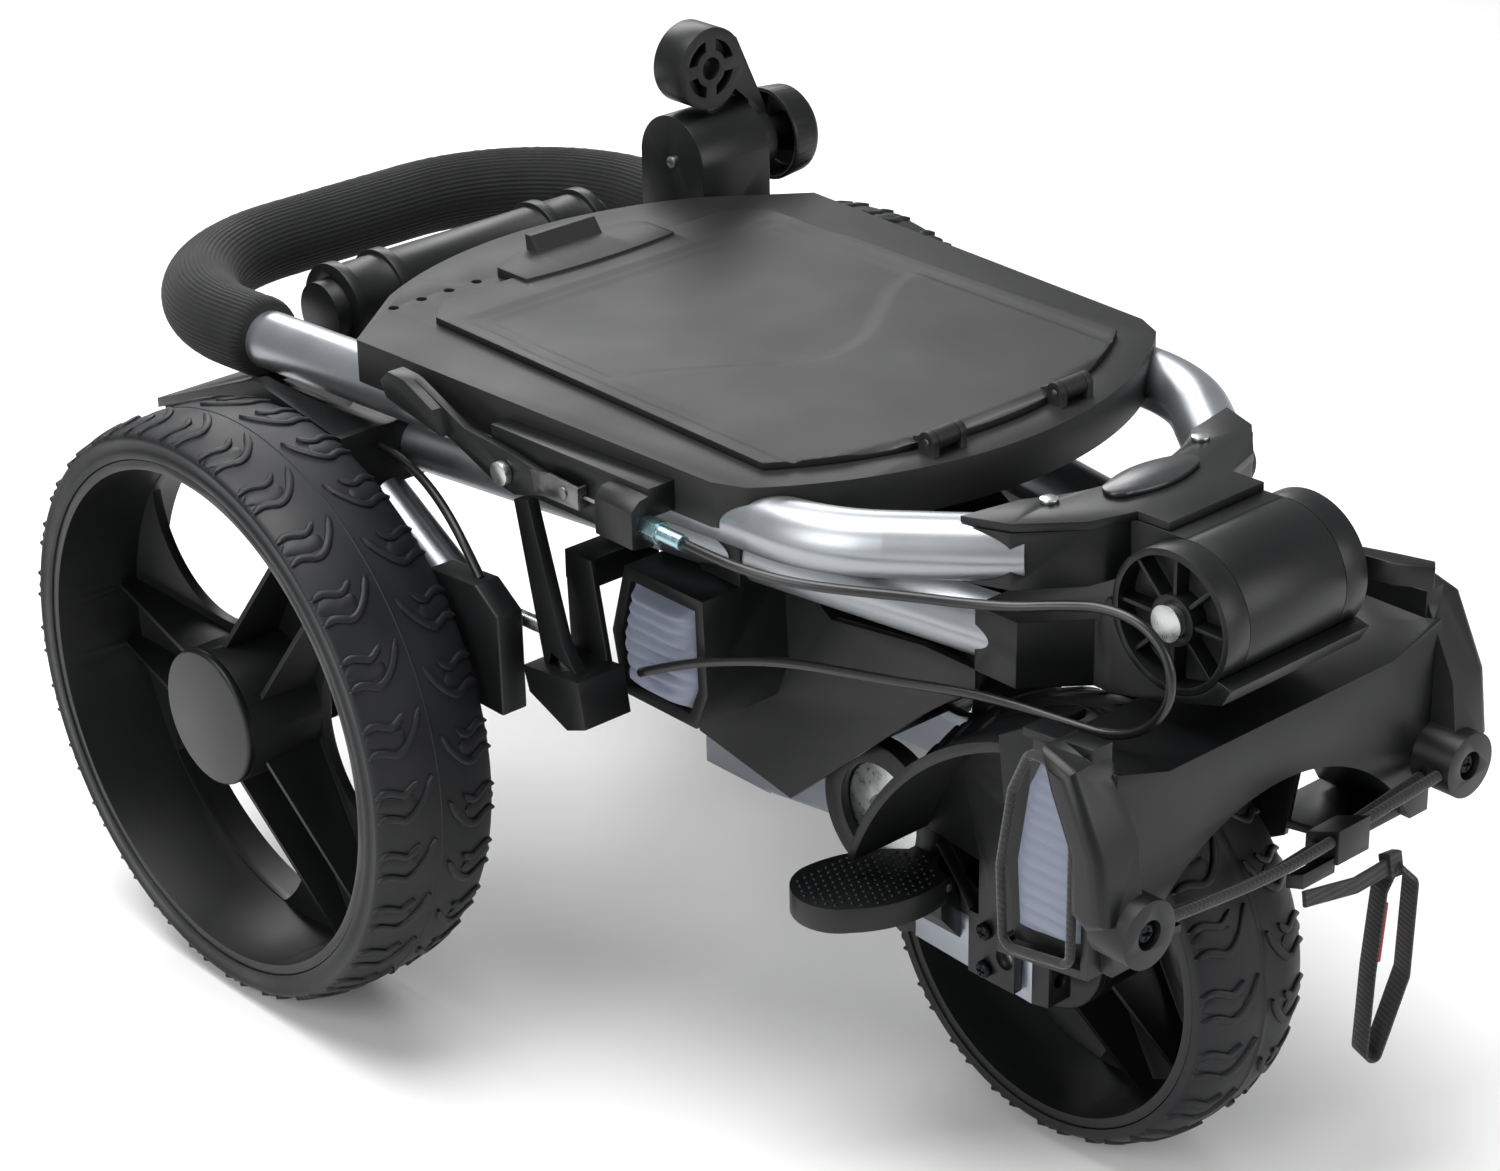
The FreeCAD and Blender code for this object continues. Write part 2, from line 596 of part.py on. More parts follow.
# rear bridge: a ribbed wing over each rear wheel, joined by the rear pivot tube
BRIDGE_TOP = [("125", "246"), ("125", "251"), ("38", "286"), ("-30", "276"), ("-30", "271"), ("36", "281")]
BRIDGE_RIB = [("122", "248"), ("38", "283"), ("-29", "273"), ("-29", "246"), ("26", "244"), ("60", "258")]
wing = new_body("bridge_wing")
wing_out, wing_in = "track / 2 - wheel_width / 2 - 5", "84"
slab(wing, "YZ", "-(%s)" % wing_out, "-(%s)" % wing_in, BRIDGE_TOP)
for rib_x in ("-(%s)" % wing_out, "-132", "-108", "-(%s) - 4" % wing_in):
    slab(wing, "YZ", rib_x, rib_x + " + 4", BRIDGE_RIB)
slab(wing, "XZ", "-30", "-26", box("-(%s)" % wing_out, "-(%s)" % wing_in, "246", "277"))
pivot_bar = new_body("bridge_bar")
rod(pivot_bar, "YZ", "-(%s) - 4" % wing_in, wing_in + " + 4", "77", "290", "16")
slab(pivot_bar, "YZ", "-(%s) - 1" % wing_in, wing_in + " + 1",
     [("-26", "250"), ("-26", "256"), ("-30", "256"), ("-30", "250")])
bridge_blank = melt("rear_bridge_blank", wing, mirrored(wing), pivot_bar)
bridge_rooms = group("bridge_rooms", both_rooms, leg_room, mirrored(leg_room), grip_room)
rear_bridge = join("Cut", "rear_bridge", bridge_blank, bridge_rooms)

rear_barrel = new_body("rear_barrel")
spin_axis = ("77", "290")
rod(rear_barrel, "YZ", "-80", "80", *spin_axis, "21")
for ring in ("-80", "-52", "46", "74"):
    rod(rear_barrel, "YZ", ring, ring + " + 6", *spin_axis, "23.5")
bore(rear_barrel, "YZ", "-81", "81", *spin_axis, "16 + run_gap")
slab(rear_barrel, "YZ", "-38", "38", [("95", "290"), ("118", "278"), ("121", "284"), ("92", "306")])

carrier_blank = new_body("axle_carrier_blank")
carrier_out = "track / 2 - wheel_width / 2 - 1.5"
slab(carrier_blank, "YZ", "-(%s)" % carrier_out, "-(%s) + 16" % carrier_out,
     [("-18", "wheel_dia / 2 - 12"), ("18", "wheel_dia / 2 - 12"), ("20", "wheel_dia / 2 + 20"),
      ("12", "243"), ("-26", "243"), ("-20", "wheel_dia / 2 + 20")],
     {0: ("21.6", ("0", "wheel_dia / 2 - 21.66"))})
bore(carrier_blank, "YZ", "-(%s) - 1" % carrier_out, "0", "0", "wheel_dia / 2", "axle_dia / 2")
carrier_cut = join("Cut", "axle_carrier_cut", carrier_blank, leg_room)
axle_carriers = group("axle_carriers", carrier_cut, mirrored(carrier_cut))

axle = new_body("rear_axle")
rod(axle, "YZ", "-track / 2 - 12", "-(%s) + 16" % carrier_out, "0", "wheel_dia / 2", "axle_dia / 2")
rear_axles = group("rear_axles", axle, mirrored(axle))

# parking brake: a box ahead of each rear axle, and a rod from it to the foot under the frame
brake_box_blank = new_body("brake_box_blank")
slab(brake_box_blank, "YZ", "-156", "-142",
     [("-144", "177"), ("-112", "177"), ("-92", "205"), ("-94", "234"), ("-128", "237"), ("-144", "226")])
brake_box_cut = join("Cut", "brake_box_cut", brake_box_blank, leg_room)
brake_boxes = group("brake_boxes", brake_box_cut, mirrored(brake_box_cut))
# a foot under each frame tube: a box on an arm, with a sheet web up to the tube
foot = new_body("foot_link")
slab(foot, "YZ", "-145", "-118.5",
     [("-189", "183"), ("-176", "178"), ("-150", "188"), ("-146", "200"), ("-185", "205")])
slab(foot, "YZ", "-138", "-132",
     [("-176", "202"), ("-158", "208"), ("-154", "196"), ("-136", "276"), ("-146", "279"),
      ("-166", "215")])
slab(foot, "YZ", "-120", "-117", [("-176", "200"), ("-150", "200"), ("-148", "250"), ("-166", "250")])
slab(foot, "XY", "236", "250", box("-120", "-80", "-166", "-148"))
foot_cut = join("Cut", "foot_link_cut", foot, rail_room)
foot_links = group("foot_links", foot_cut, mirrored(foot_cut))

brake_rod = new_body("brake_rod", x="-134", y="-108", z="214", angle="-3")
rod(brake_rod, "XZ", "-46", "0", "0", "0", "3.5")
slab(brake_rod, "XZ", "-2", "4", box("-8", "3.5", "-5", "5"))
rod_cut = join("Cut", "brake_rod_cut", brake_rod, foot_cut)
brake_rods = group("brake_rods", rod_cut, mirrored(rod_cut))

# upper bag bracket, hung from the frame tubes, with a soft pad on each arm
upper_side = new_body("upper_side")
slab(upper_side, "YZ", "-112", "-60",
     [("-176", "186"), ("-226", "186"), ("-234", "205"), ("-232", "250"), ("-180", "250"), ("-170", "215")])
hollow(upper_side, "YZ", "-113", "-64",
       [("-180", "192"), ("-222", "192"), ("-228", "206"), ("-227", "244"), ("-184", "244"), ("-176", "215")])
slab(upper_side, "YZ", "-64", "-60",
     [("-172", "147"), ("-234", "136"), ("-320", "212"), ("-350", "235"), ("-350", "244"),
      ("-318", "244"), ("-262", "236"), ("-236", "252"), ("-176", "252"), ("-168", "215")])
slab(upper_side, "YZ", "-90", "-60", [("-206", "236"), ("-232", "236"), ("-232", "268"), ("-206", "268")])
upper_middle = new_body("upper_middle")
slab(upper_middle, "YZ", "-61", "61",
     [("-172", "147"), ("-234", "stub_high + 0.5"), ("-242", "165"), ("-240", "234"), ("-178", "234"),
      ("-168", "215")])
hollow(upper_middle, "YZ", "-56", "56",
       [("-169", "151"), ("-230", "stub_high + 5"), ("-236", "167"), ("-234", "228"), ("-160", "228")])
slab(upper_middle, "XY", "stub_high + 0.5", "stub_high + 4", box("-56", "56", "-236", "-178"))
for rib_x in ("-38", "-14", "10", "34"):
    slab(upper_middle, "YZ", rib_x, rib_x + " + 3",
         [("-178", "stub_high + 3"), ("-236", "stub_high + 3"), ("-237", "230"), ("-196", "230")])
upper_blank = melt("upper_bracket_blank", upper_side, mirrored(upper_side), upper_middle)
upper_bracket = join("Cut", "upper_bag_bracket", upper_blank, both_rooms)

upper_pad = new_body("upper_pad")
slab(upper_pad, "YZ", "-118", "-104.5",
     [("-181", "193"), ("-221.5", "193"), ("-227.5", "206"), ("-226.5", "243"), ("-184.5", "243"),
      ("-177", "215")])
upper_pads = group("upper_bag_pads", upper_pad, mirrored(upper_pad))

# ---------------------------------------------------------------- beam and folding fork
pivot_y, pivot_z = "-(wheelbase - pivot_back)", "front_dia / 2 + pivot_rise"
stub_end = "-195"
beam_stub = new_body("beam_stub")
slab(beam_stub, "YZ", "-stub_half", "stub_half", box(stub_end, "-150", "stub_low", "stub_high"))
hollow(beam_stub, "XZ", stub_end + " - 1", "-149",
       box("-stub_half + 2.5", "stub_half - 2.5", "stub_low + 2.5", "stub_high - 2.5"))
for ear in ("-stub_half", "leg_inner"):
    slab(beam_stub, "YZ", ear, ear + " + stub_half - leg_inner",
         [(stub_end + " + 6", "stub_low"), (stub_end + " + 6", "stub_high"), ("-242", "stub_high"),
          (pivot_y + " + 4", pivot_z + " + 12"), (pivot_y + " + 4", pivot_z + " - 16")])
    rod(beam_stub, "YZ", ear, ear + " + stub_half - leg_inner", pivot_y, pivot_z, "hinge_dia / 2")
bore(beam_stub, "YZ", "-stub_half - 1", "stub_half + 1", pivot_y, pivot_z, "pin_dia / 2 + run_gap")

LEG_LINE = [("-(wheelbase + leg_nose)", "front_dia / 2 - 19"),
            ("-(wheelbase - leg_back)", "front_dia / 2 - 16"),
            ("-(wheelbase - leg_back)", "front_dia / 2 + 9.7"),
            ("-(wheelbase + leg_nose)", "front_dia / 2 + 7")]
fork_leg = new_body("fork_leg")
slab(fork_leg, "YZ", "-(leg_inner + leg_width)", "-leg_inner", LEG_LINE)
hollow(fork_leg, "XZ", "-(wheelbase + leg_nose) - 1", "-(wheelbase - 80)",
       box("-(leg_inner + leg_width) + 2", "-leg_inner - 2", "front_dia / 2 - 14", "front_dia / 2 + 5"))
bore(fork_leg, "YZ", "-60", "-30", "-wheelbase", "front_dia / 2", "pin_dia / 2")
fork_legs = group("fork_legs", fork_leg, mirrored(fork_leg))

front_axle = new_body("front_axle")
rod(front_axle, "YZ", "-(leg_inner + leg_width + 1)", "leg_inner + leg_width + 1", "-wheelbase",
    "front_dia / 2", "pin_dia / 2")
rod(front_axle, "YZ", "-10", "wheel_width / 2 - 1", "-wheelbase", "front_dia / 2", "axle_dia / 2")

yoke_in, yoke_out = "stub_half + part_gap", "leg_inner + leg_width + 2"
fork_yoke = new_body("fork_yoke")
slab(fork_yoke, "YZ", "-(leg_inner + leg_width)", "-(%s)" % yoke_in,
     [("-340", "108"), ("-290", "84"), ("-278", "90"), ("-278", "141"), ("-312", "141")])
rod(fork_yoke, "YZ", "-(%s)" % yoke_out, "-(%s)" % yoke_in, pivot_y, pivot_z, "hinge_ring / 2")
bore(fork_yoke, "YZ", "-(%s) - 1" % yoke_out, "-(%s) - 3.5" % yoke_in, pivot_y, pivot_z, "hinge_dia / 2 + 1")
bore(fork_yoke, "YZ", "-(%s) - 1" % yoke_out, "0", pivot_y, pivot_z, "pin_dia / 2")
leg_block = new_body("fork_leg_block")
slab(leg_block, "YZ", "-(leg_inner + leg_width)", "-leg_inner", LEG_LINE)
yoke_cut = join("Cut", "fork_yoke_cut", fork_yoke, leg_block)
fork_yokes = group("fork_yokes", yoke_cut, mirrored(yoke_cut))

hinge_disc = new_body("hinge_disc")
rod(hinge_disc, "YZ", "-(%s) - 5" % yoke_in, "-(%s) - 3.5" % yoke_in, pivot_y, pivot_z, "hinge_dia / 2")
bore(hinge_disc, "YZ", "-100", "0", pivot_y, pivot_z, "pin_dia / 2")

fork_pin = new_body("fork_pin")
rod(fork_pin, "YZ", "-(%s) - 6" % yoke_in, "-leg_inner", pivot_y, pivot_z, "pin_dia / 2")
rod(fork_pin, "YZ", "-(%s) - 8" % yoke_in, "-(%s) - 5" % yoke_in, pivot_y, pivot_z, "pin_dia / 2 + 3")

cap_front = "-(wheelbase + leg_nose)"
end_cap = new_body("leg_end_cap")
slab(end_cap, "YZ", "-(leg_inner + leg_width)", "-leg_inner",
     [(cap_front + " - 10", "front_dia / 2 - 17"), (cap_front, "front_dia / 2 - 19"),
      (cap_front, "front_dia / 2 + 7"), (cap_front + " - 10", "front_dia / 2 + 5")])
slab(end_cap, "XZ", cap_front, cap_front + " + 6",
     box("-(leg_inner + leg_width) + 2.1", "-leg_inner - 2.1", "front_dia / 2 - 13.9", "front_dia / 2 + 4.9"))
bore(end_cap, "XZ", cap_front + " - 11", cap_front + " - 4", "-(leg_inner + leg_width / 2)",
     "front_dia / 2 - 6", "3.5")
leg_end_caps = group("leg_end_caps", end_cap, mirrored(end_cap))

# foot pedal on the left leg: pressed to free the fork
pedal_mount = new_body("pedal_mount")
leg_face = "leg_inner + leg_width"
slab(pedal_mount, "XZ", "-(wheelbase - 32)", "-(wheelbase - 58)",
     [("-(%s) - 12" % leg_face, "112"), ("-(%s)" % leg_face, "98"), ("-(%s)" % leg_face, "116"),
      ("-(%s) - 4" % leg_face, "127"), ("-(%s) - 12" % leg_face, "127")])
pedal_x, pedal_z = "-(%s) - 8" % leg_face, "127"
hollow(pedal_mount, "XZ", "-(wheelbase - 37)", "-(wheelbase - 53)",
       box("-(%s) - 13" % leg_face, "-(%s) - 2.5" % leg_face, "119", "140"))
rod(pedal_mount, "XZ", "-(wheelbase - 32)", "-(wheelbase - 37)", pedal_x, pedal_z, "4.5")
rod(pedal_mount, "XZ", "-(wheelbase - 53)", "-(wheelbase - 58)", pedal_x, pedal_z, "4.5")
bore(pedal_mount, "XZ", "-(wheelbase - 30)", "-(wheelbase - 60)", pedal_x, pedal_z, "2")
bore(pedal_mount, "YZ", "-(%s) - part_gap" % yoke_out, "-45", pivot_y, pivot_z, "hinge_ring / 2 + part_gap")

pedal = new_body("foot_pedal")
rod(pedal, "XZ", "-(wheelbase - 37.3)", "-(wheelbase - 52.7)", pedal_x, pedal_z, "4.5")
slab(pedal, "XY", "128", "140",
     [("-62", "-(wheelbase - 38)"), ("-68", "-(wheelbase - 22)"), ("-116", "-(wheelbase - 32)"),
      ("-106", "-(wheelbase - 72)"), ("-62", "-(wheelbase - 52)")],
     {1: ("52", ("-94.3", "-(wheelbase - 21.1)")), 2: ("21.5", ("-117.9", "-(wheelbase - 53.2)")),
      3: ("60", ("-83.3", "-(wheelbase - 66.8)"))})
slab(pedal, "XY", "127", "140", box("-66", pedal_x, "-(wheelbase - 38)", "-(wheelbase - 52)"))
bore(pedal, "XZ", "-(wheelbase - 30)", "-(wheelbase - 60)", pedal_x, pedal_z, "2 + run_gap")
pedal_pin = new_body("pedal_pin")
rod(pedal_pin, "XZ", "-(wheelbase - 31)", "-(wheelbase - 59)", pedal_x, pedal_z, "2")

fork_pins = group("fork_pins", fork_pin, mirrored(fork_pin), hinge_disc, mirrored(hinge_disc), pedal_pin)

# ---------------------------------------------------------------- lower bag cradle on the fork
arch = new_body("cradle_arch")
slab(arch, "XZ", "-arch_front", "-arch_rear",
     [("-88", "160"), ("-100", "160"), ("-100", "252"), ("-70", "243"), ("70", "243"), ("100", "252"),
      ("100", "160"), ("88", "160")], {7: ("100.5", ("0", "212"))})
hollow(arch, "XZ", "-arch_front + 5", "-arch_rear + 1",
       [("-86.5", "172"), ("-95", "172"), ("-95", "246"), ("-70", "239"), ("70", "239"), ("95", "246"),
        ("95", "172"), ("86.5", "172")], {7: ("105.7", ("0", "217"))})
side = new_body("cradle_side")
WEB = [("-(wheelbase - 16)", "146"), ("-(wheelbase - 52)", "150"), ("-404", "243"), ("-440", "240"),
       ("-425", "150"), ("-(wheelbase + 4)", "116"), ("-(wheelbase - 16)", "116")]
slab(side, "YZ", "-54.5", "-51.8", WEB, {1: ("140", ("-338", "213"))})
slab(side, "YZ", "-99", "-54",
     [("-(wheelbase - 52)", "150"), ("-404", "243"), ("-404", "238.5"), ("-(wheelbase - 48)", "150")],
     {0: ("140", ("-338", "213")), 2: ("144", ("-341", "209"))})
slab(side, "YZ", "-101", "-97",
     [("-411", "152"), ("-458", "160"), ("-458", "262"), ("-420", "258"), ("-400", "246")])
for wall in (("-411", "152", "-408", "158"), ("-458", "160", "-454", "262")):
    slab(side, "YZ", "-108", "-97", box(wall[0], wall[2], wall[1], wall[3]))
slab(side, "YZ", "-108", "-52", [("-408", "151"), ("-458", "159"), ("-458", "163"), ("-408", "155")])
slab(side, "YZ", "-108", "-97", [("-420", "256"), ("-458", "260"), ("-458", "264"), ("-420", "260")])
slab(side, "YZ", "-54.5", "-49.8", box("-(wheelbase + 6)", "-(wheelbase - 22)", "front_dia / 2 - 15",
                                      "front_dia / 2 + 16"))
BUMPER = [("-440", "263"), ("-458", "258"), ("-474", "226"), ("-478", "196"), ("-468", "190"),
          ("-458", "196"), ("-457", "222"), ("-446", "246")]
bore(side, "YZ", "-60", "-45", "-wheelbase", "front_dia / 2", "pin_dia / 2")
slab(side, "YZ", "-122", "-98", BUMPER)
soften(side, "6", lambda edge: is_along(edge, X) is False and abs(edge.BoundBox.XMax + 122) < 0.1
       and edge.BoundBox.XLength < 0.1)
rod(side, "XZ", "-484", "-arch_front", "-boss_x", "boss_z", "15")
bore(side, "XZ", "-485", "-477", "-boss_x", "boss_z", "6.5")
bag_cradle = melt("bag_cradle", arch, side, mirrored(side))

pad = new_body("cradle_pad")
slab(pad, "YZ", "-107", "-101.1", [("-416", "166"), ("-450", "171"), ("-450", "234"), ("-441", "249"),
                                   ("-428", "249"), ("-420", "232"), ("-414", "195")])
cradle_pads = group("cradle_pads", pad, mirrored(pad))

loop = new_body("pad_loop")
slab(loop, "YZ", "-112.6", "-108.2",
     [("-411", "154"), ("-453", "162"), ("-453", "224"), ("-443", "246"), ("-438", "254"), ("-425", "254"),
      ("-415", "232"), ("-409", "195")])
hollow(loop, "YZ", "-113", "-108",
       [("-415.5", "160"), ("-448.5", "166"), ("-448.5", "224"), ("-439", "245"), ("-436", "250"),
        ("-428", "250"), ("-419.5", "231"), ("-413.5", "195")])
pad_loops = group("pad_loops", loop, mirrored(loop))

screw_list = []
for screw_name, screw_y, screw_z in (("leg_screw_low", "-(wheelbase - 11)", "front_dia / 2 - 9"),
                                     ("leg_screw_high", "-(wheelbase - 11)", "front_dia / 2 + 10")):
    screw = new_body(screw_name)
    rod(screw, "YZ", "-57", "-54.6", screw_y, screw_z, "4")
    screw_list += [screw, mirrored(screw)]
boss_screw = new_body("boss_screw")
rod(boss_screw, "XZ", "-481", "-477.1", "-boss_x", "boss_z", "5")
fork_screws = group("fork_screws", *screw_list, boss_screw, mirrored(boss_screw))

bungee_r = size("bungee_dia") / 2
bx, bz = size("boss_x") - 15.4, size("boss_z")
FRONT_CORD = [(-bx, -479, bz - 1), (-bx + 34, -480, bz - 4), (-bx + 68, -480.5, bz - 6),
              (-bx + 102, -480.5, bz - 4.5), (-bx + 136, -480, bz - 2), (bx, -479, bz - 1)]
REAR_CORD = [(-bx, -470, bz - 5), (-bx + 33, -471.5, bz - 10), (-bx + 68, -472, bz - 13),
             (-bx + 104, -472, bz - 10.5), (-bx + 138, -471, bz - 7.5), (bx, -470, bz - 5)]
bungee_cord = set_shape("bungee_cord", [cord(FRONT_CORD, 2 * bungee_r, "front bag cord"),
                                        cord(REAR_CORD, 2 * bungee_r, "rear bag cord")])

lock_blank = new_body("cord_lock_blank")
slab(lock_blank, "YZ", "14", "34", [("-484.5", "175"), ("-467", "168"), ("-467", "184"), ("-484.5", "191")])
slab(lock_blank, "YZ", "-6", "14.1", [("-483", "171"), ("-474", "168"), ("-474", "174"), ("-483", "178")])
lock_tool = set_shape("cord_room", [cord(FRONT_CORD, 2 * bungee_r + 0.02, "front cord hole"),
                                    cord(REAR_CORD, 2 * bungee_r + 0.02, "rear cord hole")])
cord_lock = join("Cut", "cord_lock", lock_blank, lock_tool)

strap = new_body("pull_strap")
slab(strap, "XZ", "-481.2", "-479",
     [("-3", "166"), ("30", "162"), ("62", "160"), ("66", "152"), ("64", "100"), ("54", "62"),
      ("44", "66"), ("50", "105"), ("53", "146"), ("30", "150"), ("-3", "158")])

# ---------------------------------------------------------------- console, pouch and lid
console_low = "console_top - console_deep"


def console_outline(inset):
    side_front, side_rear = "(console_half - 11 - %s)" % inset, "(console_half - 0.5 - %s)" % inset
    front = "(console_half - 18 - %s)" % inset
    y0, y1 = "-277 + %s" % inset, "4 - %s" % inset
    front_radius = "((pow(%s; 2) + 1936) / 88)" % front
    rear_radius = "((pow(98 - %s; 2) + 676) / 52)" % inset
    corners = [("-" + front, y0), (front, y0), (side_front, "-262"), (side_rear, "-30"),
               ("98 - %s" % inset, y1), ("-98 + %s" % inset, y1), ("-" + side_rear, "-30"),
               ("-" + side_front, "-262")]
    arcs = {0: (front_radius, ("0", "-321 + %s" % inset)), 4: (rear_radius, ("0", "30 - %s" % inset))}
    return corners, arcs


def opening_outline(inset):
    half = "(lid_half - 13 - %s)" % inset
    return ([("-" + half, "-255 + %s" % inset), (half, "-255 + %s" % inset), (half, "-48 - %s" % inset),
             ("-" + half, "-48 - %s" % inset)],
            {0: ("((pow(%s; 2) + 900) / 60)" % half, ("0", "-285 + %s" % inset))})


console_blank = new_body("console_blank")
slab(console_blank, "XY", console_low, "console_top", *console_outline("0"))
hollow(console_blank, "XY", console_low + " - 1", "console_top - console_wall",
       *console_outline("console_wall"))
hollow(console_blank, "XY", "console_top - console_wall - 1", "console_top + 1", *opening_outline("0"))
for tee in range(4):
    bore(console_blank, "XY", "console_top - console_wall - 1", "console_top + 1",
         "-106 + %d * tee_pitch" % tee, "-10", "tee_dia / 2")
axis_z = "console_top + knuckle_dia / 2 + 1.5"
for knuckle in ("-knuckle_half", "knuckle_half"):
    for ear in (" - 10", " + 6.3"):
        slab(console_blank, "YZ", knuckle + ear, knuckle + ear + " + 3.7",
             box("-lid_axis_y - 4.5", "-lid_axis_y + 4.5", "console_top - 1", axis_z))
        rod(console_blank, "YZ", knuckle + ear, knuckle + ear + " + 3.7", "-lid_axis_y", axis_z,
            "knuckle_dia / 2")
bore(console_blank, "YZ", "-60", "60", "-lid_axis_y", axis_z, "lid_pin_dia / 2")
console = join("Cut", "console", console_blank, tube_room)
console_outer = new_body("console_outer")
slab(console_outer, "XY", console_low + " - 30", "console_top", *console_outline("-0.1"))

pouch = new_body("storage_pouch")
slab(pouch, "XY", "rail_height + tube_dia / 2 + 5", "console_top - 0.5", *opening_outline("0.1"))
hollow(pouch, "XY", "rail_height + tube_dia / 2 + 7", "console_top", *opening_outline("2"))

lid = new_body("lid")
lid_low = "console_top + part_gap"
slab(lid, "XY", lid_low, lid_low + " + lid_thick",
     [("-(lid_half + 3)", "-268"), ("lid_half + 3", "-268"), ("lid_half - 1", "-40"),
      ("lid_half - 17", "-25"), ("-(lid_half - 17)", "-25"), ("-(lid_half - 1)", "-40")],
     {0: ("(pow(lid_half + 3; 2) + 1225) / 70", ("0", "-303"))})
slab(lid, "XY", lid_low, lid_low + " + lid_thick + 1.5",
     [("-46", "-34"), ("46", "-34"), ("46", "-12"), ("-46", "-12")],
     {0: ("350", ("0", "-37")), 2: ("85", ("0", "1.5"))})
for knuckle in ("-knuckle_half", "knuckle_half"):
    hollow(lid, "XY", lid_low + " - 1", lid_low + " + lid_thick + 1",
           box(knuckle + " - 10.5", knuckle + " + 10.5", "-lid_axis_y - 8", "-lid_axis_y + 5.2"))
slab(lid, "YZ", "-20", "20", [("-12", "console_top + 3"), ("-2", "console_top + 3"),
                              ("-1", "console_top + 12"), ("-5", "console_top + 12")])
for knuckle in ("-knuckle_half", "knuckle_half"):
    slab(lid, "YZ", knuckle + " - 6", knuckle + " + 6",
         [("-lid_axis_y", "console_top + 0.45"), ("-lid_axis_y + 12", "console_top + 0.45"),
          ("-lid_axis_y + 12", "console_top + 4"), ("-lid_axis_y", "console_top + 9")])
    rod(lid, "YZ", knuckle + " - 6", knuckle + " + 6", "-lid_axis_y", axis_z, "knuckle_dia / 2")
bore(lid, "YZ", "-60", "60", "-lid_axis_y", axis_z, "lid_pin_dia / 2 + run_gap")

# ---------------------------------------------------------------- umbrella holder
HOLDER = {"y": "holder_y", "z": "holder_z"}
base_blank = new_body("umbrella_base_blank", **HOLDER)
chord = "sqrt(pow(holder_dia / 2; 2) - 4)"
slab(base_blank, "YZ", "ring_x - 19", "ring_x + 26",
     [("-" + chord, "-46"), (chord, "-46"), (chord, "2"), ("-" + chord, "2")],
     {2: ("holder_dia / 2", ("0", "holder_dia / 2"))})
bore(base_blank, "YZ", "0", "ring_x + 30", "0", "0", "3")
umbrella_base = join("Cut", "umbrella_base", base_blank, tube_room)

umbrella_arm = new_body("umbrella_arm", **HOLDER)
arm_in, arm_out = "ring_x + 26.3", "ring_x + 38"
rod(umbrella_arm, "YZ", arm_in, arm_out, "0", "0", "17")
slab(umbrella_arm, "XZ", "-8", "8",
     [(arm_in, "0"), (arm_out, "0"), (arm_out, "18"), ("ring_x + 19", "ring_rise + 12"),
      ("ring_x + 8", "ring_rise + 14"), ("ring_x + 12", "ring_rise - 10"), (arm_in, "24.5")])
rod(umbrella_arm, "XZ", "-ring_deep / 2", "ring_deep / 2", "ring_x", "ring_rise", "ring_dia / 2")
bore(umbrella_arm, "XZ", "-ring_deep", "ring_deep", "ring_x", "ring_rise", "ring_bore / 2")
for quarter in range(4):
    def on_ring(radius, turn):
        angle = 90 * quarter + 45 + turn
        return "ring_x + %s * cos(%d)" % (radius, angle), "ring_rise + %s * sin(%d)" % (radius, angle)
    hollow(umbrella_arm, "XZ", "-ring_deep / 2 - 1", "-ring_deep / 2 + 6",
           [on_ring("15", -32), on_ring("15", 32), on_ring("9.5", 26), on_ring("9.5", -26)],
           {0: ("15", on_ring("15", 0)), 2: ("9.5", on_ring("9.5", 0))})
bore(umbrella_arm, "YZ", arm_in + " - 1", arm_out + " + 1", "0", "0", "3 + run_gap")

umbrella_knob = new_body("umbrella_knob", **HOLDER)
knob_in = arm_out + " + part_gap"
spin(umbrella_knob, "XY",
     [(knob_in, "3 + run_gap"), (knob_in, "8"), (knob_in + " + 20", "9"), (knob_in + " + 20", "20"),
      (knob_in + " + 6", "22"), (knob_in + " + 6", "24.5"), (knob_in + " + 22", "23"),
      (knob_in + " + 26", "19"), (knob_in + " + 26", "3 + run_gap")])

# ---------------------------------------------------------------- brake lever and its cable stop
housing_blank = new_body("brake_housing_blank")
plate_in = "-(lever_x - 2.3)"
slab(housing_blank, "YZ", plate_in, "-132",
     [("-lever_y - 92", "303.5"), ("-lever_y + 14", "303.5"), ("-lever_y + 14", "314"),
      ("-lever_y - 92", "317")])
slab(housing_blank, "YZ", plate_in, plate_in + " + 3.5",
     [("-lever_y - 90", "290"), ("-lever_y + 12", "287"), ("-lever_y + 14", "306"), ("-lever_y - 92", "306")])
slab(housing_blank, "XZ", "-lever_y - 92", "-lever_y - 68",
     [("-lever_x - 7.5", "292"), (plate_in + " + 2", "290"), (plate_in + " + 2", "314"),
      ("-lever_x - 3", "313"), ("-lever_x - 7.5", "309")])
bore(housing_blank, "XZ", "-lever_y - 93", "-lever_y - 60", "-lever_x", "301", "3")
bore(housing_blank, "YZ", plate_in + " - 1", plate_in + " + 4", "-lever_y", "lever_z", "3")
housing_cut = join("Cut", "brake_housing_cut", housing_blank, console_outer)
brake_housing = join("Cut", "brake_housing", housing_cut, tube_room)

brake_lever = new_body("brake_lever", y="-lever_y", z="lever_z")
slab(brake_lever, "YZ", "-lever_x - 2", "-lever_x + 2",
     [("-27", "-3"), ("-27", "7"), ("-4", "10"), ("28", "12"), ("62", "25"), ("76", "26"), ("82", "20"),
      ("78", "13"), ("36", "3"), ("9", "-7"), ("-6", "-9")])
slab(brake_lever, "YZ", "-lever_x - 7", "-lever_x + 2",
     [("38", "6"), ("44", "17"), ("64", "25.5"), ("76", "26"), ("82", "20"), ("78", "13")])
bore(brake_lever, "YZ", "-lever_x - 8", "-lever_x + 4", "0", "0", "3 + run_gap")

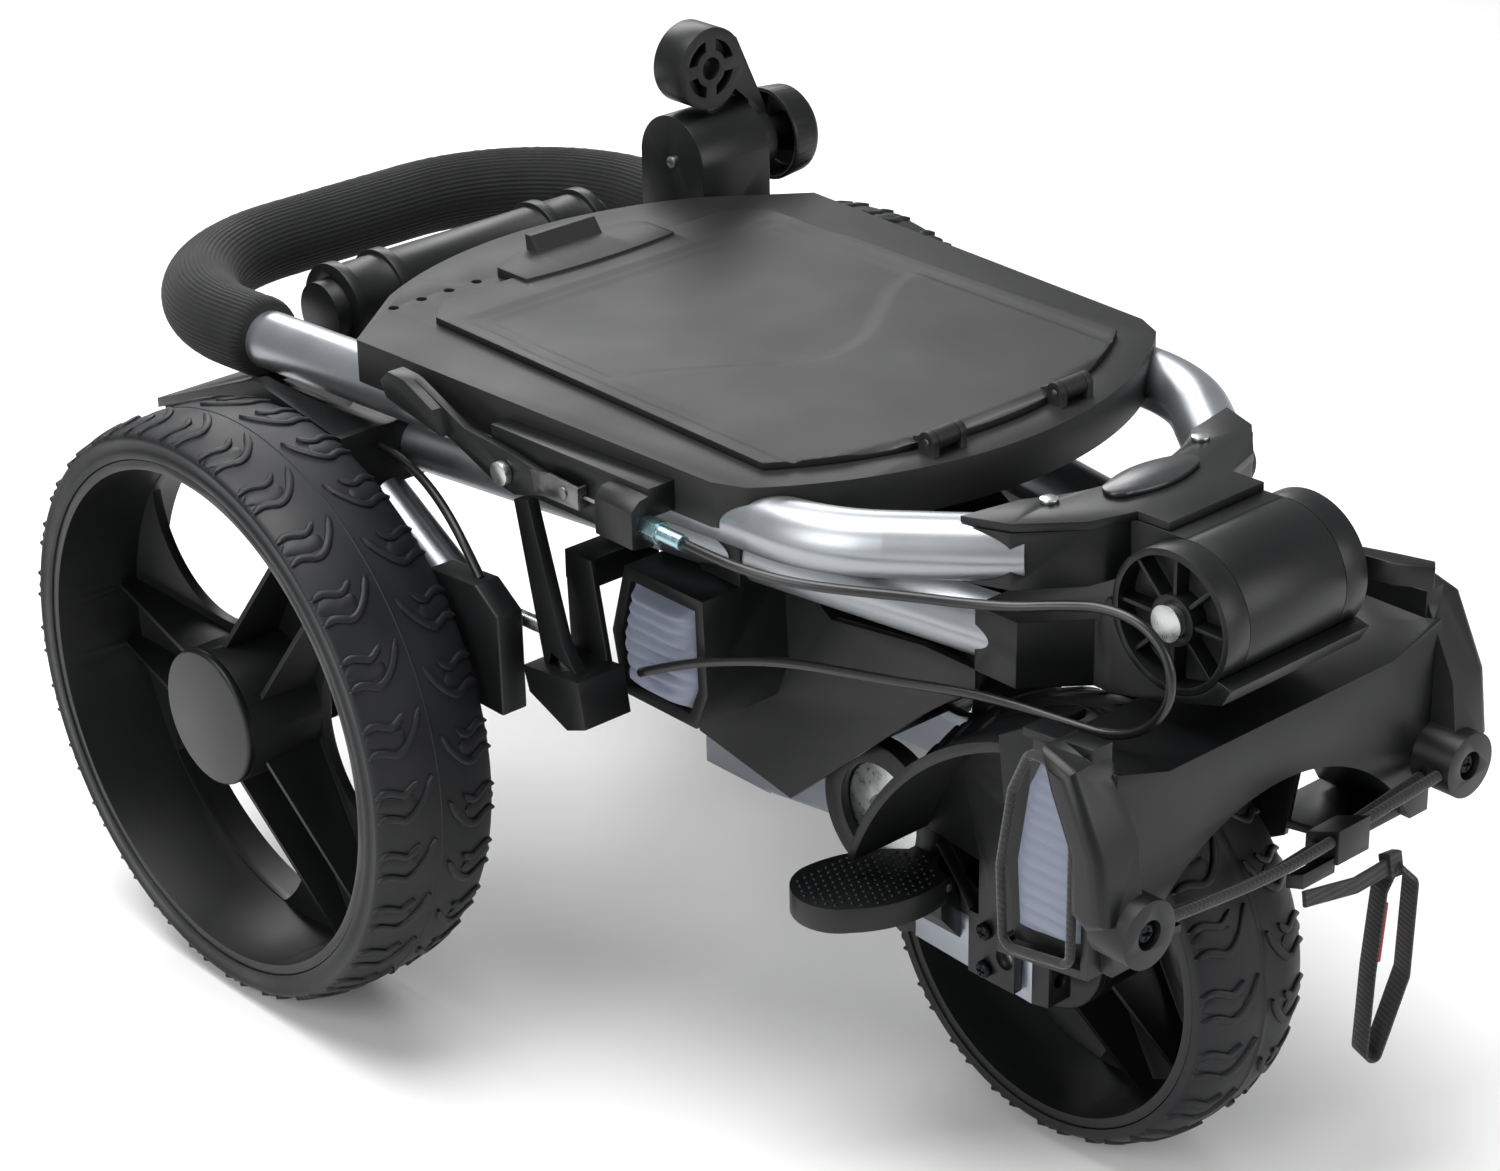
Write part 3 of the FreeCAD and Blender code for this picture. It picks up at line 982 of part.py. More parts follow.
brake_clevis = new_body("brake_clevis", y="-lever_y", z="lever_z")
slab(brake_clevis, "YZ", "-lever_x - 3.6", "-lever_x - 2.1",
     [("-52", "-1"), ("-22", "-2"), ("-20", "8"), ("-34", "10"), ("-52", "9")])
slab(brake_clevis, "XZ", "-52", "-50.4", box("-lever_x - 3.6", "-lever_x + 1.6", "-1", "9"))
rod(brake_clevis, "YZ", "-lever_x - 4.6", "-lever_x - 3", "-42", "4", "3")
bore(brake_clevis, "XZ", "-60", "-40", "-lever_x", "4", "1")

cable_adjuster = new_body("cable_adjuster", y="-lever_y - 92")
slab(cable_adjuster, "XZ", "-10", "0",
     [("-lever_x + 5.2 * cos(%d)" % (60 * turn), "301 + 5.2 * sin(%d)" % (60 * turn)) for turn in range(6)])
rod(cable_adjuster, "XZ", "-24", "-10", "-lever_x", "301", "3.4")
bore(cable_adjuster, "XZ", "-25", "1", "-lever_x", "301", "1.5")

# the cable's two lengths meet in line with the main hinge's axis, so that neither crosses the other's path
cable_x, cable_y, cable_z = -size("lever_x"), -size("lever_y") - 116, 301
UPPER_CABLE = [(cable_x, cable_y - 0.05, cable_z), (cable_x + 0.5, cable_y - 17, cable_z - 0.6),
               (cable_x + 4, cable_y - 36, cable_z - 2), (cable_x + 12, cable_y - 55, cable_z - 3.4),
               (cable_x + 24, cable_y - 73, cable_z - 4.3), (cable_x + 39, cable_y - 92, cable_z - 5.3),
               (cable_x + 54, cable_y - 112, cable_z - 6.7)]
LOWER_CABLE = [(cable_x + 54.2, cable_y - 112.3, 294.3), (cable_x + 63.5, cable_y - 128, 295.2),
               (cable_x + 72, cable_y - 145, 299), (cable_x + 78.5, cable_y - 163, 302.5),
               (cable_x + 82.5, cable_y - 181, 300), (cable_x + 84, cable_y - 194, 288.5),
               (cable_x + 83, cable_y - 196.5, 271.5), (cable_x + 80, cable_y - 188, 256.5),
               (cable_x + 75, cable_y - 173, 249.5), (cable_x + 71, cable_y - 154, 249.5),
               (cable_x + 66, cable_y - 132, 250.5), (cable_x + 61, cable_y - 106, 249.4),
               (cable_x + 52, cable_y - 76, 246), (cable_x + 45, cable_y - 46, 243),
               (cable_x + 38, cable_y - 16, 239), (cable_x + 32, cable_y + 12, 231),
               (cable_x + 28.5, cable_y + 38, 221), (cable_x + 26, cable_y + 62, 209)]
BOX_CABLE = [(-148, -122, 236), (-147.6, -112.5, 246.5), (-145.4, -99, 256.5), (-142, -82, 263.6),
             (-138, -63, 267), (-134.5, -45, 267.5), (-133, -30.2, 267.6)]
cable_dia = size("cable_dia")
wire = Part.makeCylinder(0.8, 38.5, V(cable_x, cable_y + size("axle_y") + 25, cable_z), Y)
brake_cable_upper = set_shape("brake_cable_upper", [cord(UPPER_CABLE, cable_dia, "upper cable"), wire])
box_cable = cord(BOX_CABLE, cable_dia, "box cable")
other_box_cable = box_cable.mirror(V(), X)
brake_cable_lower = set_shape("brake_cable_lower",
                              [cord(LOWER_CABLE, cable_dia, "lower cable"), box_cable, other_box_cable])

# ---------------------------------------------------------------- pins, bolts and screws on the handle
lid_pin = new_body("lid_pin")
rod(lid_pin, "YZ", "-knuckle_half - 10", "-knuckle_half + 10", "-lid_axis_y", axis_z, "lid_pin_dia / 2")
lid_pin_right = mirrored(lid_pin)
holder_bolt = new_body("holder_bolt", **HOLDER)
rod(holder_bolt, "YZ", "ring_x - 20", knob_in + " + 27", "0", "0", "3")
lever_pin = new_body("lever_pin", y="-lever_y", z="lever_z")
rod(lever_pin, "YZ", "-lever_x - 3", plate_in + " + 3.5", "0", "0", "3")
rod(lever_pin, "YZ", "-lever_x - 6", "-lever_x - 2.3", "0", "0", "5.5")
cover_screws = []
for screw_side in (-1, 1):
    cover_screw = new_body("cover_screw", **HANDLE)
    rod(cover_screw, "XY", cover_low + " - 2", cover_high + " - 0.5", "%d * 46" % screw_side,
        "tube_start + 1", "1.55")
    rod(cover_screw, "XY", cover_high, cover_high + " + 1.6", "%d * 46" % screw_side, "tube_start + 1", "4")
    rod(cover_screw, "XY", cover_high + " - 1", cover_high + " + 0.1", "%d * 46" % screw_side,
        "tube_start + 1", "1.55")
    cover_screws.append(cover_screw)
handle_fasteners = group("handle_fasteners", lid_pin, lid_pin_right, holder_bolt, lever_pin, *cover_screws)

# ---------------------------------------------------------------- checks and export
nodes += [handle_tube, foam_grip, handle_yoke, yoke_cover, cover_badge, barrel_ends, hinge_bolt,
          quick_release, frame_tubes, frame_yoke, rear_bridge, rear_barrel, legs, axle_carriers,
          rear_axles, brake_boxes, brake_rods, foot_links, upper_bracket, upper_pads, beam_stub, fork_legs,
          front_axle, fork_yokes, fork_pins, leg_end_caps, pedal_mount, pedal,
          bag_cradle, cradle_pads, pad_loops, fork_screws, bungee_cord, cord_lock, strap, console, pouch, lid,
          umbrella_base, umbrella_arm, umbrella_knob, brake_housing, brake_lever, brake_clevis,
          cable_adjuster, brake_cable_upper, brake_cable_lower, handle_fasteners]
doc.recompute()
for item in doc.Objects:
    if "Invalid" in item.State or "Error" in item.State:
        owners = [owner.Label for owner in item.InList]
        raise RuntimeError("%s of %s is %s" % (item.Label, owners, item.State))
for item in nodes:
    if item.Shape.isNull() or not item.Shape.isValid() or not item.Shape.Solids:
        raise RuntimeError("%s has no sound solid" % item.Label)
os.makedirs("parts", exist_ok=True)
for item in nodes:
    item.Shape.exportStep("parts/%s.step" % item.Label)
    box_now = item.Shape.BoundBox
    print("%-22s solids %d  volume %9.0f  x %6.1f %6.1f  y %6.1f %6.1f  z %6.1f %6.1f" % (
        item.Label, len(item.Shape.Solids), item.Shape.Volume, box_now.XMin, box_now.XMax,
        box_now.YMin, box_now.YMax, box_now.ZMin, box_now.ZMax))
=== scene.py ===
# %% [markdown]
# A folded golf push trolley, built around its CAD frame. The frame gives every piece its place, so the
# work here is surfaces: rounded mouldings, a tyre tread, ribbed foam, webbing, cords and the finishes.

# %% load the frame
import json
import math
import bmesh
import bpy
from mathutils import Matrix, Vector, noise
from mathutils.bvhtree import BVHTree


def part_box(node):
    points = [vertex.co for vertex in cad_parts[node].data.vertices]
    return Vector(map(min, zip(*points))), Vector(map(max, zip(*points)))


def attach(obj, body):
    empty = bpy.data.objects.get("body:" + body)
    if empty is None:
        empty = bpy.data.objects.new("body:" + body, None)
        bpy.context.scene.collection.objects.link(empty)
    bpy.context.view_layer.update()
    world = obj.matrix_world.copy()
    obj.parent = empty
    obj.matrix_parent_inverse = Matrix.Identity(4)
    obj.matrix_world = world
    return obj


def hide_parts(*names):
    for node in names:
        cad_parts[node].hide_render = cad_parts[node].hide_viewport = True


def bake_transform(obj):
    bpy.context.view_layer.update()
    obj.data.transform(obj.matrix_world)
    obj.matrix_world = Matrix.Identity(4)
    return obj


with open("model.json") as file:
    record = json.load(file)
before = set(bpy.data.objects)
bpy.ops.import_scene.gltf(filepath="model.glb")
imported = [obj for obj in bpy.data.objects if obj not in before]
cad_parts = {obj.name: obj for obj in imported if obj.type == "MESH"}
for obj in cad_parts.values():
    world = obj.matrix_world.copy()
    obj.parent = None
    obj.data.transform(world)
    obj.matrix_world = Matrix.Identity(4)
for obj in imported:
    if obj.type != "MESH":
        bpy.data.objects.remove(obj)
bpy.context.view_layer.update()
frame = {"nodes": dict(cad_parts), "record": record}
MM = 0.001
WELD = 1e-6
CAD_WELD = 2e-6
print("frame holds", len(frame["nodes"]), "nodes")


# %% [markdown]
# Four helpers serve everything below. Colours are picked as sRGB hex values, which Blender wants as linear
# light. Node trees, for materials and geometry alike, are grown one node at a time. A piece is a mesh in the
# row frame, and its doubles are welded and its faces turned outwards where it was built from strips.

# %% helpers
def colour(code):
    """sRGB hex to linear RGBA."""
    parts = [int(code[i:i + 2], 16) / 255 for i in (1, 3, 5)]
    return (*[c / 12.92 if c <= 0.04045 else ((c + 0.055) / 1.055) ** 2.4 for c in parts], 1)


def add(tree, kind, inputs=None, **settings):
    """Add a node; an input is given a value or the socket that feeds it."""
    node = tree.nodes.new(kind)
    for name, value in settings.items():
        setattr(node, name, value)
    for socket, value in (inputs or {}).items():
        if isinstance(value, bpy.types.NodeSocket):
            tree.links.new(value, node.inputs[socket])
        else:
            node.inputs[socket].default_value = value
    return node


def make_piece(name, points, faces, material, body=None):
    """A smooth mesh piece in the row frame, in metres, that rides on a body if one is named."""
    mesh = bpy.data.meshes.new(name)
    mesh.from_pydata([tuple(p) for p in points], [], faces)
    mesh.validate()
    mesh.polygons.foreach_set("use_smooth", [True] * len(mesh.polygons))
    mesh.materials.append(material)
    piece = bpy.data.objects.new(name, mesh)
    bpy.context.collection.objects.link(piece)
    if body:
        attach(piece, body)
    return piece


def outward(mesh):
    """Weld a mesh's doubles and turn its faces outwards."""
    work = bmesh.new()
    work.from_mesh(mesh)
    bmesh.ops.remove_doubles(work, verts=work.verts, dist=WELD)
    bmesh.ops.recalc_face_normals(work, faces=work.faces)
    work.to_mesh(mesh)
    work.free()


# %% [markdown]
# The camera stands ahead of the trolley's left side and looks down on it through a long lens, so that
# the near wheel hardly swells. Its matrix is put together from the direction that it looks back along.

# %% camera
LOOK_AT = Vector((-0.0099, -0.0083, 0.1949))
TURN, RISE, ROLL = math.radians(-41.47), math.radians(25.68), math.radians(-1.08)
DISTANCE, LENS = 1.695, 86.47
back = Vector((math.sin(TURN) * math.cos(RISE), -math.cos(TURN) * math.cos(RISE), math.sin(RISE)))
right = (-back).cross(Vector((0, 0, 1))).normalized()
up = right.cross(-back)
across = right * math.cos(ROLL) + up * math.sin(ROLL)
upward = up * math.cos(ROLL) - right * math.sin(ROLL)
camera = bpy.data.objects.new("camera", bpy.data.cameras.new("camera"))
camera.data.lens = LENS
camera.data.sensor_width = 36
camera.matrix_world = Matrix.Translation(LOOK_AT + back * DISTANCE) @ Matrix(
    (across, upward, back)).transposed().to_4x4()
bpy.context.collection.objects.link(camera)
bpy.context.scene.camera = camera
print("camera at", [round(v, 3) for v in camera.matrix_world.translation])

# %% [markdown]
# Soft boxes: black plastic shows its shape only by what it mirrors, so one wide lamp stands above and three
# more stand to the left, ahead and behind. The floor and the world are pale, as on a studio table.


# %% floor and lights
def soft_box(name, place, size, power, aim=(0, 0, 0.15)):
    lamp = bpy.data.objects.new(name, bpy.data.lights.new(name, "AREA"))
    lamp.data.shape = "RECTANGLE"
    lamp.data.size, lamp.data.size_y = size
    lamp.data.energy = power
    lamp.location = place
    lamp.rotation_euler = (Vector(aim) - Vector(place)).to_track_quat("-Z", "Y").to_euler()
    bpy.context.collection.objects.link(lamp)


soft_box("top_light", (-0.3, 0.2, 1.9), (1.3, 1.3), 42)
soft_box("left_light", (-1.9, -0.3, 1.0), (1.0, 1.4), 20)
soft_box("front_light", (0.7, -2.0, 0.9), (1.2, 1.0), 14)
soft_box("rear_light", (0.9, 1.6, 1.3), (1.2, 0.8), 18)

world = bpy.data.worlds.new("studio")
bpy.context.scene.world = world
world.use_nodes = True
world.node_tree.nodes["Background"].inputs["Color"].default_value = colour("#f4f5f7")
world.node_tree.nodes["Background"].inputs["Strength"].default_value = 0.4

paper = bpy.data.materials.new("studio_paper")
paper.use_nodes = True
shade = paper.node_tree.nodes["Principled BSDF"]
shade.inputs["Base Color"].default_value = colour("#f3f3f2")
shade.inputs["Roughness"].default_value = 0.9
bpy.context.scene.view_settings.view_transform = "Standard"
floor = make_piece("floor", [(-6, -6, -0.0005), (6, -6, -0.0005), (6, 6, -0.0005), (-6, 6, -0.0005)],
                   [(0, 1, 2, 3)], paper)


# %% [markdown]
# Every finish starts from the same skeleton: a Principled shader, object coordinates in metres, one
# fine pattern for the bump, and one broad pattern that drifts the colour and the roughness a little,
# as handling and moulding do. What differs is the pattern, its real size, and the shader's own values.

# %% material skeleton
def new_material(name, roughness, metallic=0.0, ior=1.5, **sockets):
    """A material with its shader and object coordinates."""
    material = bpy.data.materials.new(name)
    material.use_nodes = True
    tree = material.node_tree
    shader = tree.nodes["Principled BSDF"]
    shader.inputs["Roughness"].default_value = roughness
    shader.inputs["Metallic"].default_value = metallic
    shader.inputs["IOR"].default_value = ior
    for socket, value in sockets.items():
        shader.inputs[socket.replace("_", " ")].default_value = value
    here = add(tree, "ShaderNodeTexCoord").outputs["Object"]
    return material, tree, shader, here


def drift(tree, shader, here, dark, light, patch_mm, rough_low, rough_high):
    """Colour and roughness wander between two values over patches of a real size."""
    cloud = add(tree, "ShaderNodeTexNoise", {"Vector": here, "Scale": 1000 / patch_mm, "Detail": 6.0})
    tint = add(tree, "ShaderNodeMix", {"Factor": cloud.outputs["Fac"], "A": colour(dark),
                                       "B": colour(light)}, data_type="RGBA")
    tree.links.new(tint.outputs["Result"], shader.inputs["Base Color"])
    spread = add(tree, "ShaderNodeMapRange", {"Value": cloud.outputs["Fac"], "From Min": 0.3,
                                              "From Max": 0.7, "To Min": rough_low, "To Max": rough_high})
    tree.links.new(spread.outputs["Result"], shader.inputs["Roughness"])


def emboss(tree, shader, height, depth_mm, strength=1.0):
    """Bump of a real depth."""
    bump = add(tree, "ShaderNodeBump", {"Height": height, "Distance": depth_mm * MM, "Strength": strength})
    tree.links.new(bump.outputs["Normal"], shader.inputs["Normal"])


# %% [markdown]
# Glass-filled nylon and polypropylene mouldings come out of a spark-eroded tool, whose fine pits leave
# a matte black that goes pale at grazing angles. The pits trap part of what a smooth face would mirror, so
# the specular level of these finishes is set to about a third. The pits are 0.15 mm across; they are drawn
# at 0.5 mm, the finest that shows. The lid and its console are the same plastic in a greyer batch, and the
# badge is polished.


# %% moulded plastics
MATTE = 0.32


def moulded(name, dark, light, pit_mm, pit_depth_mm, rough_low, rough_high, **sockets):
    material, tree, shader, here = new_material(name, rough_low, **sockets)
    drift(tree, shader, here, dark, light, 60, rough_low, rough_high)
    pits = add(tree, "ShaderNodeTexNoise", {"Vector": here, "Scale": 1000 / pit_mm, "Detail": 2.0})
    emboss(tree, shader, pits.outputs["Fac"], pit_depth_mm, 0.6)
    return material


black_plastic = moulded("textured_black_nylon", "#08090a", "#0f1011", 0.5, 0.05, 0.34, 0.46, ior=1.53,
                        Specular_IOR_Level=MATTE)
lid_plastic = moulded("textured_charcoal_polypropylene", "#161716", "#1b1c1b", 0.6, 0.04, 0.48, 0.58,
                      ior=1.49, Specular_IOR_Level=MATTE)
badge_plastic = moulded("polished_abs", "#1b1c1e", "#242528", 0.9, 0.01, 0.22, 0.3, ior=1.54)
bearing_nylon = moulded("natural_nylon", "#b9b7ae", "#c6c4bb", 0.8, 0.02, 0.4, 0.5, ior=1.53)
pad_rubber = moulded("blue_grey_tpe", "#676d7b", "#7a8090", 0.5, 0.03, 0.55, 0.68, ior=1.5)
cable_vinyl = moulded("black_vinyl_sheath", "#0b0b0c", "#121213", 0.8, 0.02, 0.28, 0.38, ior=1.52)


# %% [markdown]
# Tyre rubber is carbon black in natural rubber, pressed in a machined mould: satin, faintly blue where
# it catches light, greyer where dust stays. Its grain is close to 0.4 mm and is drawn at 0.8 mm.

# %% tyre rubber
def make_tyre_rubber():
    material, tree, shader, here = new_material("moulded_tyre_rubber", 0.5, ior=1.52,
                                                Specular_IOR_Level=MATTE)
    drift(tree, shader, here, "#0b0c0f", "#131417", 35, 0.44, 0.6)
    grain = add(tree, "ShaderNodeTexNoise", {"Vector": here, "Scale": 1000 / 0.8, "Detail": 3.0})
    emboss(tree, shader, grain.outputs["Fac"], 0.05, 0.5)
    return material


tyre_rubber = make_tyre_rubber()


# %% [markdown]
# The tubes are drawn aluminium under a silver lacquer full of tiny flakes. A flake is 0.05 mm; cells of
# 0.6 mm tip the normal by a hair, so the highlight breaks up into a fine sparkle. The fork's legs and
# the beam are bare satin-anodised extrusions: long, faint die lines run with their length.

# %% aluminium
def make_silver_lacquer():
    material, tree, shader, here = new_material("silver_lacquered_aluminium", 0.34, metallic=0.9)
    drift(tree, shader, here, "#94979b", "#a9acb0", 45, 0.3, 0.4)
    flakes = add(tree, "ShaderNodeTexVoronoi", {"Vector": here, "Scale": 1000 / 0.6})
    emboss(tree, shader, flakes.outputs["Color"], 0.02, 0.5)
    return material


def make_bare_aluminium():
    material, tree, shader, here = new_material("satin_anodised_aluminium", 0.4, metallic=1.0)
    drift(tree, shader, here, "#8f949d", "#a6abb3", 25, 0.34, 0.46)
    along = add(tree, "ShaderNodeMapping", {"Vector": here, "Scale": (1, 0.03, 1)})
    lines = add(tree, "ShaderNodeTexNoise", {"Vector": along.outputs["Vector"], "Scale": 1000 / 0.5})
    emboss(tree, shader, lines.outputs["Fac"], 0.03, 0.5)
    return material


silver_lacquer = make_silver_lacquer()
bare_aluminium = make_bare_aluminium()


# %% [markdown]
# Axles, pins and screws are steel with bright zinc on it: crystals about 1 mm across, each a slightly
# different grey. The cable adjuster's zinc is passivated blue. The lever's clevis is a dull stamping.

# %% plated steel
def plated(name, dark, light, rough_low, rough_high):
    material, tree, shader, here = new_material(name, rough_low, metallic=1.0)
    drift(tree, shader, here, dark, light, 4, rough_low, rough_high)
    crystals = add(tree, "ShaderNodeTexVoronoi", {"Vector": here, "Scale": 1000 / 1.0})
    emboss(tree, shader, crystals.outputs["Distance"], 0.02, 0.4)
    return material


zinc_steel = plated("bright_zinc_plated_steel", "#a9abab", "#cfd1d0", 0.24, 0.36)
blue_zinc = plated("blue_passivated_steel", "#7fa3ad", "#a9c6cb", 0.22, 0.34)
dark_steel = plated("black_oxide_steel", "#17181a", "#2a2b2e", 0.3, 0.42)
dull_steel = plated("dull_zinc_stamping", "#5d5e5d", "#8d8e8c", 0.3, 0.45)


# %% [markdown]
# Foam, pouch, cords and webbing scatter light at their edges, so they take a little sheen. The pouch is
# a coated plain weave of 0.5 mm threads, drawn at 1 mm; the webbing has ribs 1.2 mm apart across it; the
# elastic's braid is a slanted lattice of 1 mm strands.

# %% soft finishes
def make_foam():
    material, tree, shader, here = new_material("ribbed_eva_foam", 0.8, ior=1.45, Sheen_Weight=0.1,
                                                Specular_IOR_Level=MATTE)
    drift(tree, shader, here, "#0b0c0d", "#121314", 20, 0.7, 0.85)
    cells = add(tree, "ShaderNodeTexVoronoi", {"Vector": here, "Scale": 1000 / 0.7})
    emboss(tree, shader, cells.outputs["Distance"], 0.08, 0.6)
    return material


def woven(name, dark, light, thread_mm, directions, sheen):
    """Crossed waves, one for each direction that the threads run in."""
    material, tree, shader, here = new_material(name, 0.75, ior=1.45, Sheen_Weight=sheen)
    drift(tree, shader, here, dark, light, 12, 0.62, 0.8)
    height = None
    for turn in directions:
        turned = add(tree, "ShaderNodeMapping", {"Vector": here, "Rotation": turn})
        wave = add(tree, "ShaderNodeTexWave", {"Vector": turned.outputs["Vector"],
                                               "Scale": 1000 / thread_mm / 6.28, "Distortion": 0.4})
        if height is None:
            height = wave.outputs["Fac"]
        else:
            height = add(tree, "ShaderNodeMath", {0: height, 1: wave.outputs["Fac"]},
                         operation="MAXIMUM").outputs["Value"]
    emboss(tree, shader, height, 0.25, 0.7)
    return material


SLANT = math.radians(40)
eva_foam = make_foam()
pouch_cloth = woven("coated_polyester_weave", "#141518", "#1f2023", 1.0,
                    [(0, 0, 0), (0, 0, math.pi / 2)], 0.2)
webbing_cloth = woven("polyester_webbing", "#131315", "#1d1d20", 1.2, [(0, math.pi / 2, 0)], 0.3)
red_patch = woven("red_woven_patch", "#8d1519", "#a8242a", 1.0, [(0, math.pi / 2, 0)], 0.2)
elastic_braid = woven("braided_elastic", "#0f0f11", "#1b1b1e", 1.0, [(0, SLANT, 0), (0, -SLANT, 0)], 0.25)

# %% [markdown]
# The CAD mouldings have knife edges, which real ones never have: a tool's corners and the plastic's
# shrinkage round them by half a millimetre or more, and that radius is what draws the bright lines along
# every edge. Each CAD node is copied, its loose triangles welded, flat ones joined, and a bevel added.


# %% round the mouldings
def rounded(node, width_mm, material, body):
    source = frame["nodes"][node]
    mesh = source.data.copy()
    work = bmesh.new()
    work.from_mesh(mesh)
    bmesh.ops.remove_doubles(work, verts=work.verts, dist=CAD_WELD)
    bmesh.ops.dissolve_limit(work, angle_limit=math.radians(0.6), verts=work.verts, edges=work.edges)
    work.to_mesh(mesh)
    work.free()
    mesh.name = node + "_shell"
    piece = bpy.data.objects.new(node + "_shell", mesh)
    bpy.context.collection.objects.link(piece)
    bevel = piece.modifiers.new("edges", "BEVEL")
    bevel.width = width_mm * MM
    bevel.segments = 2
    bevel.limit_method = "ANGLE"
    bevel.angle_limit = math.radians(38)
    bevel.use_clamp_overlap = True
    shaped = bpy.data.meshes.new_from_object(piece.evaluated_get(bpy.context.evaluated_depsgraph_get()))
    piece.modifiers.clear()
    piece.data = shaped
    shaped.materials.clear()
    shaped.materials.append(material)
    shaped.polygons.foreach_set("use_smooth", [True] * len(shaped.polygons))
    shaped.set_sharp_from_angle(angle=math.radians(32))
    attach(piece, body)
    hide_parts(node)


BODY_OF = {node: body for body, nodes in frame["record"]["behaviour"]["bodies"].items() for node in nodes}
SLOT_OF = {part["node"]: part["material_slot"] for part in frame["record"]["subparts"]}
FINISH = {"tyre_rubber": tyre_rubber, "black_plastic": black_plastic, "lid_plastic": lid_plastic,
          "badge_plastic": badge_plastic, "nylon": bearing_nylon, "grip_foam": eva_foam,
          "silver_aluminium": silver_lacquer, "bare_aluminium": bare_aluminium, "steel": zinc_steel,
          "zinc_steel": blue_zinc, "pad_rubber": pad_rubber, "elastic": elastic_braid,
          "pouch_fabric": pouch_cloth, "webbing": webbing_cloth, "cable_sheath": cable_vinyl}
EDGE = {"black_plastic": 0.9, "lid_plastic": 0.7, "badge_plastic": 0.8, "bare_aluminium": 0.4,
        "steel": 0.25, "zinc_steel": 0.3, "nylon": 0.3}
BUILT_BELOW = {"left_tyre", "right_tyre", "front_tyre", "foam_grip", "cradle_pads", "upper_bag_pads",
               "pad_loops", "bungee_cord", "pull_strap", "storage_pouch", "brake_cable_upper",
               "brake_cable_lower"}
SOFTER_EDGE = {"bag_cradle": 1.8, "handle_yoke": 1.4, "yoke_cover": 1.2, "umbrella_base": 1.3,
               "umbrella_arm": 1.2, "umbrella_knob": 1.4, "brake_lever": 1.1, "foot_pedal": 1.3,
               "rear_bridge": 1.2}
EXTRA_FINISH = {"console": lid_plastic, "fork_screws": dark_steel, "brake_clevis": dull_steel}
for node, source in frame["nodes"].items():
    finish = EXTRA_FINISH.get(node, FINISH[SLOT_OF[node]])
    if node in BUILT_BELOW:
        continue
    if SLOT_OF[node] in EDGE:
        width = SOFTER_EDGE.get(node, EDGE[SLOT_OF[node]])
        rounded(node, width, finish, BODY_OF[node])
    else:
        for holder in source.material_slots:
            holder.material = finish
print("rounded", sum(SLOT_OF[n] in EDGE for n in frame["nodes"]), "nodes")

# %% [markdown]
# Pieces that bend are swept: a ring of points is carried along a line without twisting. The line is
# either straight runs with round corners, as a tube is bent, or a cord's own spline.


# %% sweeping
def rounded_route(corners, radius, closed=False, step=math.radians(6)):
    """Straight runs joined by arcs; the corners and the radius share a unit."""
    points, count = [], len(corners)
    for i in range(count):
        here = Vector(corners[i])
        if not closed and i in (0, count - 1):
            points.append(here)
            continue
        before = (Vector(corners[i - 1]) - here).normalized()
        after = (Vector(corners[(i + 1) % count]) - here).normalized()
        half = before.angle(after) / 2
        shares = [0.98 if not closed and at in (0, count - 1) else 0.49 for at in (i - 1, (i + 1) % count)]
        reach = min(radius / math.tan(half), shares[0] * (Vector(corners[i - 1]) - here).length,
                    shares[1] * (Vector(corners[(i + 1) % count]) - here).length)
        arc_radius = reach * math.tan(half)
        centre = here + (before + after).normalized() * arc_radius / math.sin(half)
        first, last = here + before * reach - centre, here + after * reach - centre
        turns = max(2, math.ceil(first.angle(last) / step))
        points += [centre + first.slerp(last, k / turns).normalized() * arc_radius for k in range(turns + 1)]
    return points


def evenly(points, spacing):
    """Cut the long straight runs into steps."""
    out = [points[0]]
    for a, b in zip(points, points[1:]):
        steps = max(1, round((b - a).length / spacing))
        out += [a.lerp(b, k / steps) for k in range(1, steps + 1)]
    return out


def sweep(points, ring, closed=False):
    """Carry ring(position along, angle share) -> (sideways, upwards) along the points."""
    verts, faces, count = [], [], len(points)
    tangents = []
    for i in range(count):
        ahead = points[(i + 1) % count] if closed or i + 1 < count else points[i]
        behind = points[i - 1] if closed or i else points[i]
        tangents.append((ahead - behind).normalized())
    side = tangents[0].orthogonal().normalized()
    along, sides = 0.0, 0
    for i, (point, tangent) in enumerate(zip(points, tangents)):
        side = (side - tangent * side.dot(tangent)).normalized()
        lift = tangent.cross(side)
        outline = ring(along)
        sides = len(outline)
        verts += [point + side * a + lift * b for a, b in outline]
        if i + 1 < count:
            along += (points[i + 1] - point).length
    for i in range(count if closed else count - 1):
        for k in range(sides):
            a, b = i * sides, ((i + 1) % count) * sides
            faces.append((a + k, b + k, b + (k + 1) % sides, a + (k + 1) % sides))
    if not closed:
        faces += [tuple(range(sides)), tuple((count - 1) * sides + k for k in reversed(range(sides)))]
    return verts, faces


def circle(radius, sides=14):
    turns = [2 * math.pi * k / sides for k in range(sides)]
    return lambda along: [(radius * math.cos(t), radius * math.sin(t)) for t in turns]


# %% [markdown]
# The tyre is a solid rubber band round the rim. Its tread has about 28 pairs of wavy lugs on each side:
# a long one that runs in from the shoulder and trails off along the middle, and a short one beside it,
# with a low plateau between. One pair is drawn on the unrolled tread, laid on the crown and then carried
# round by Geometry Nodes, once for each shoulder; the far shoulder's pairs are staggered.

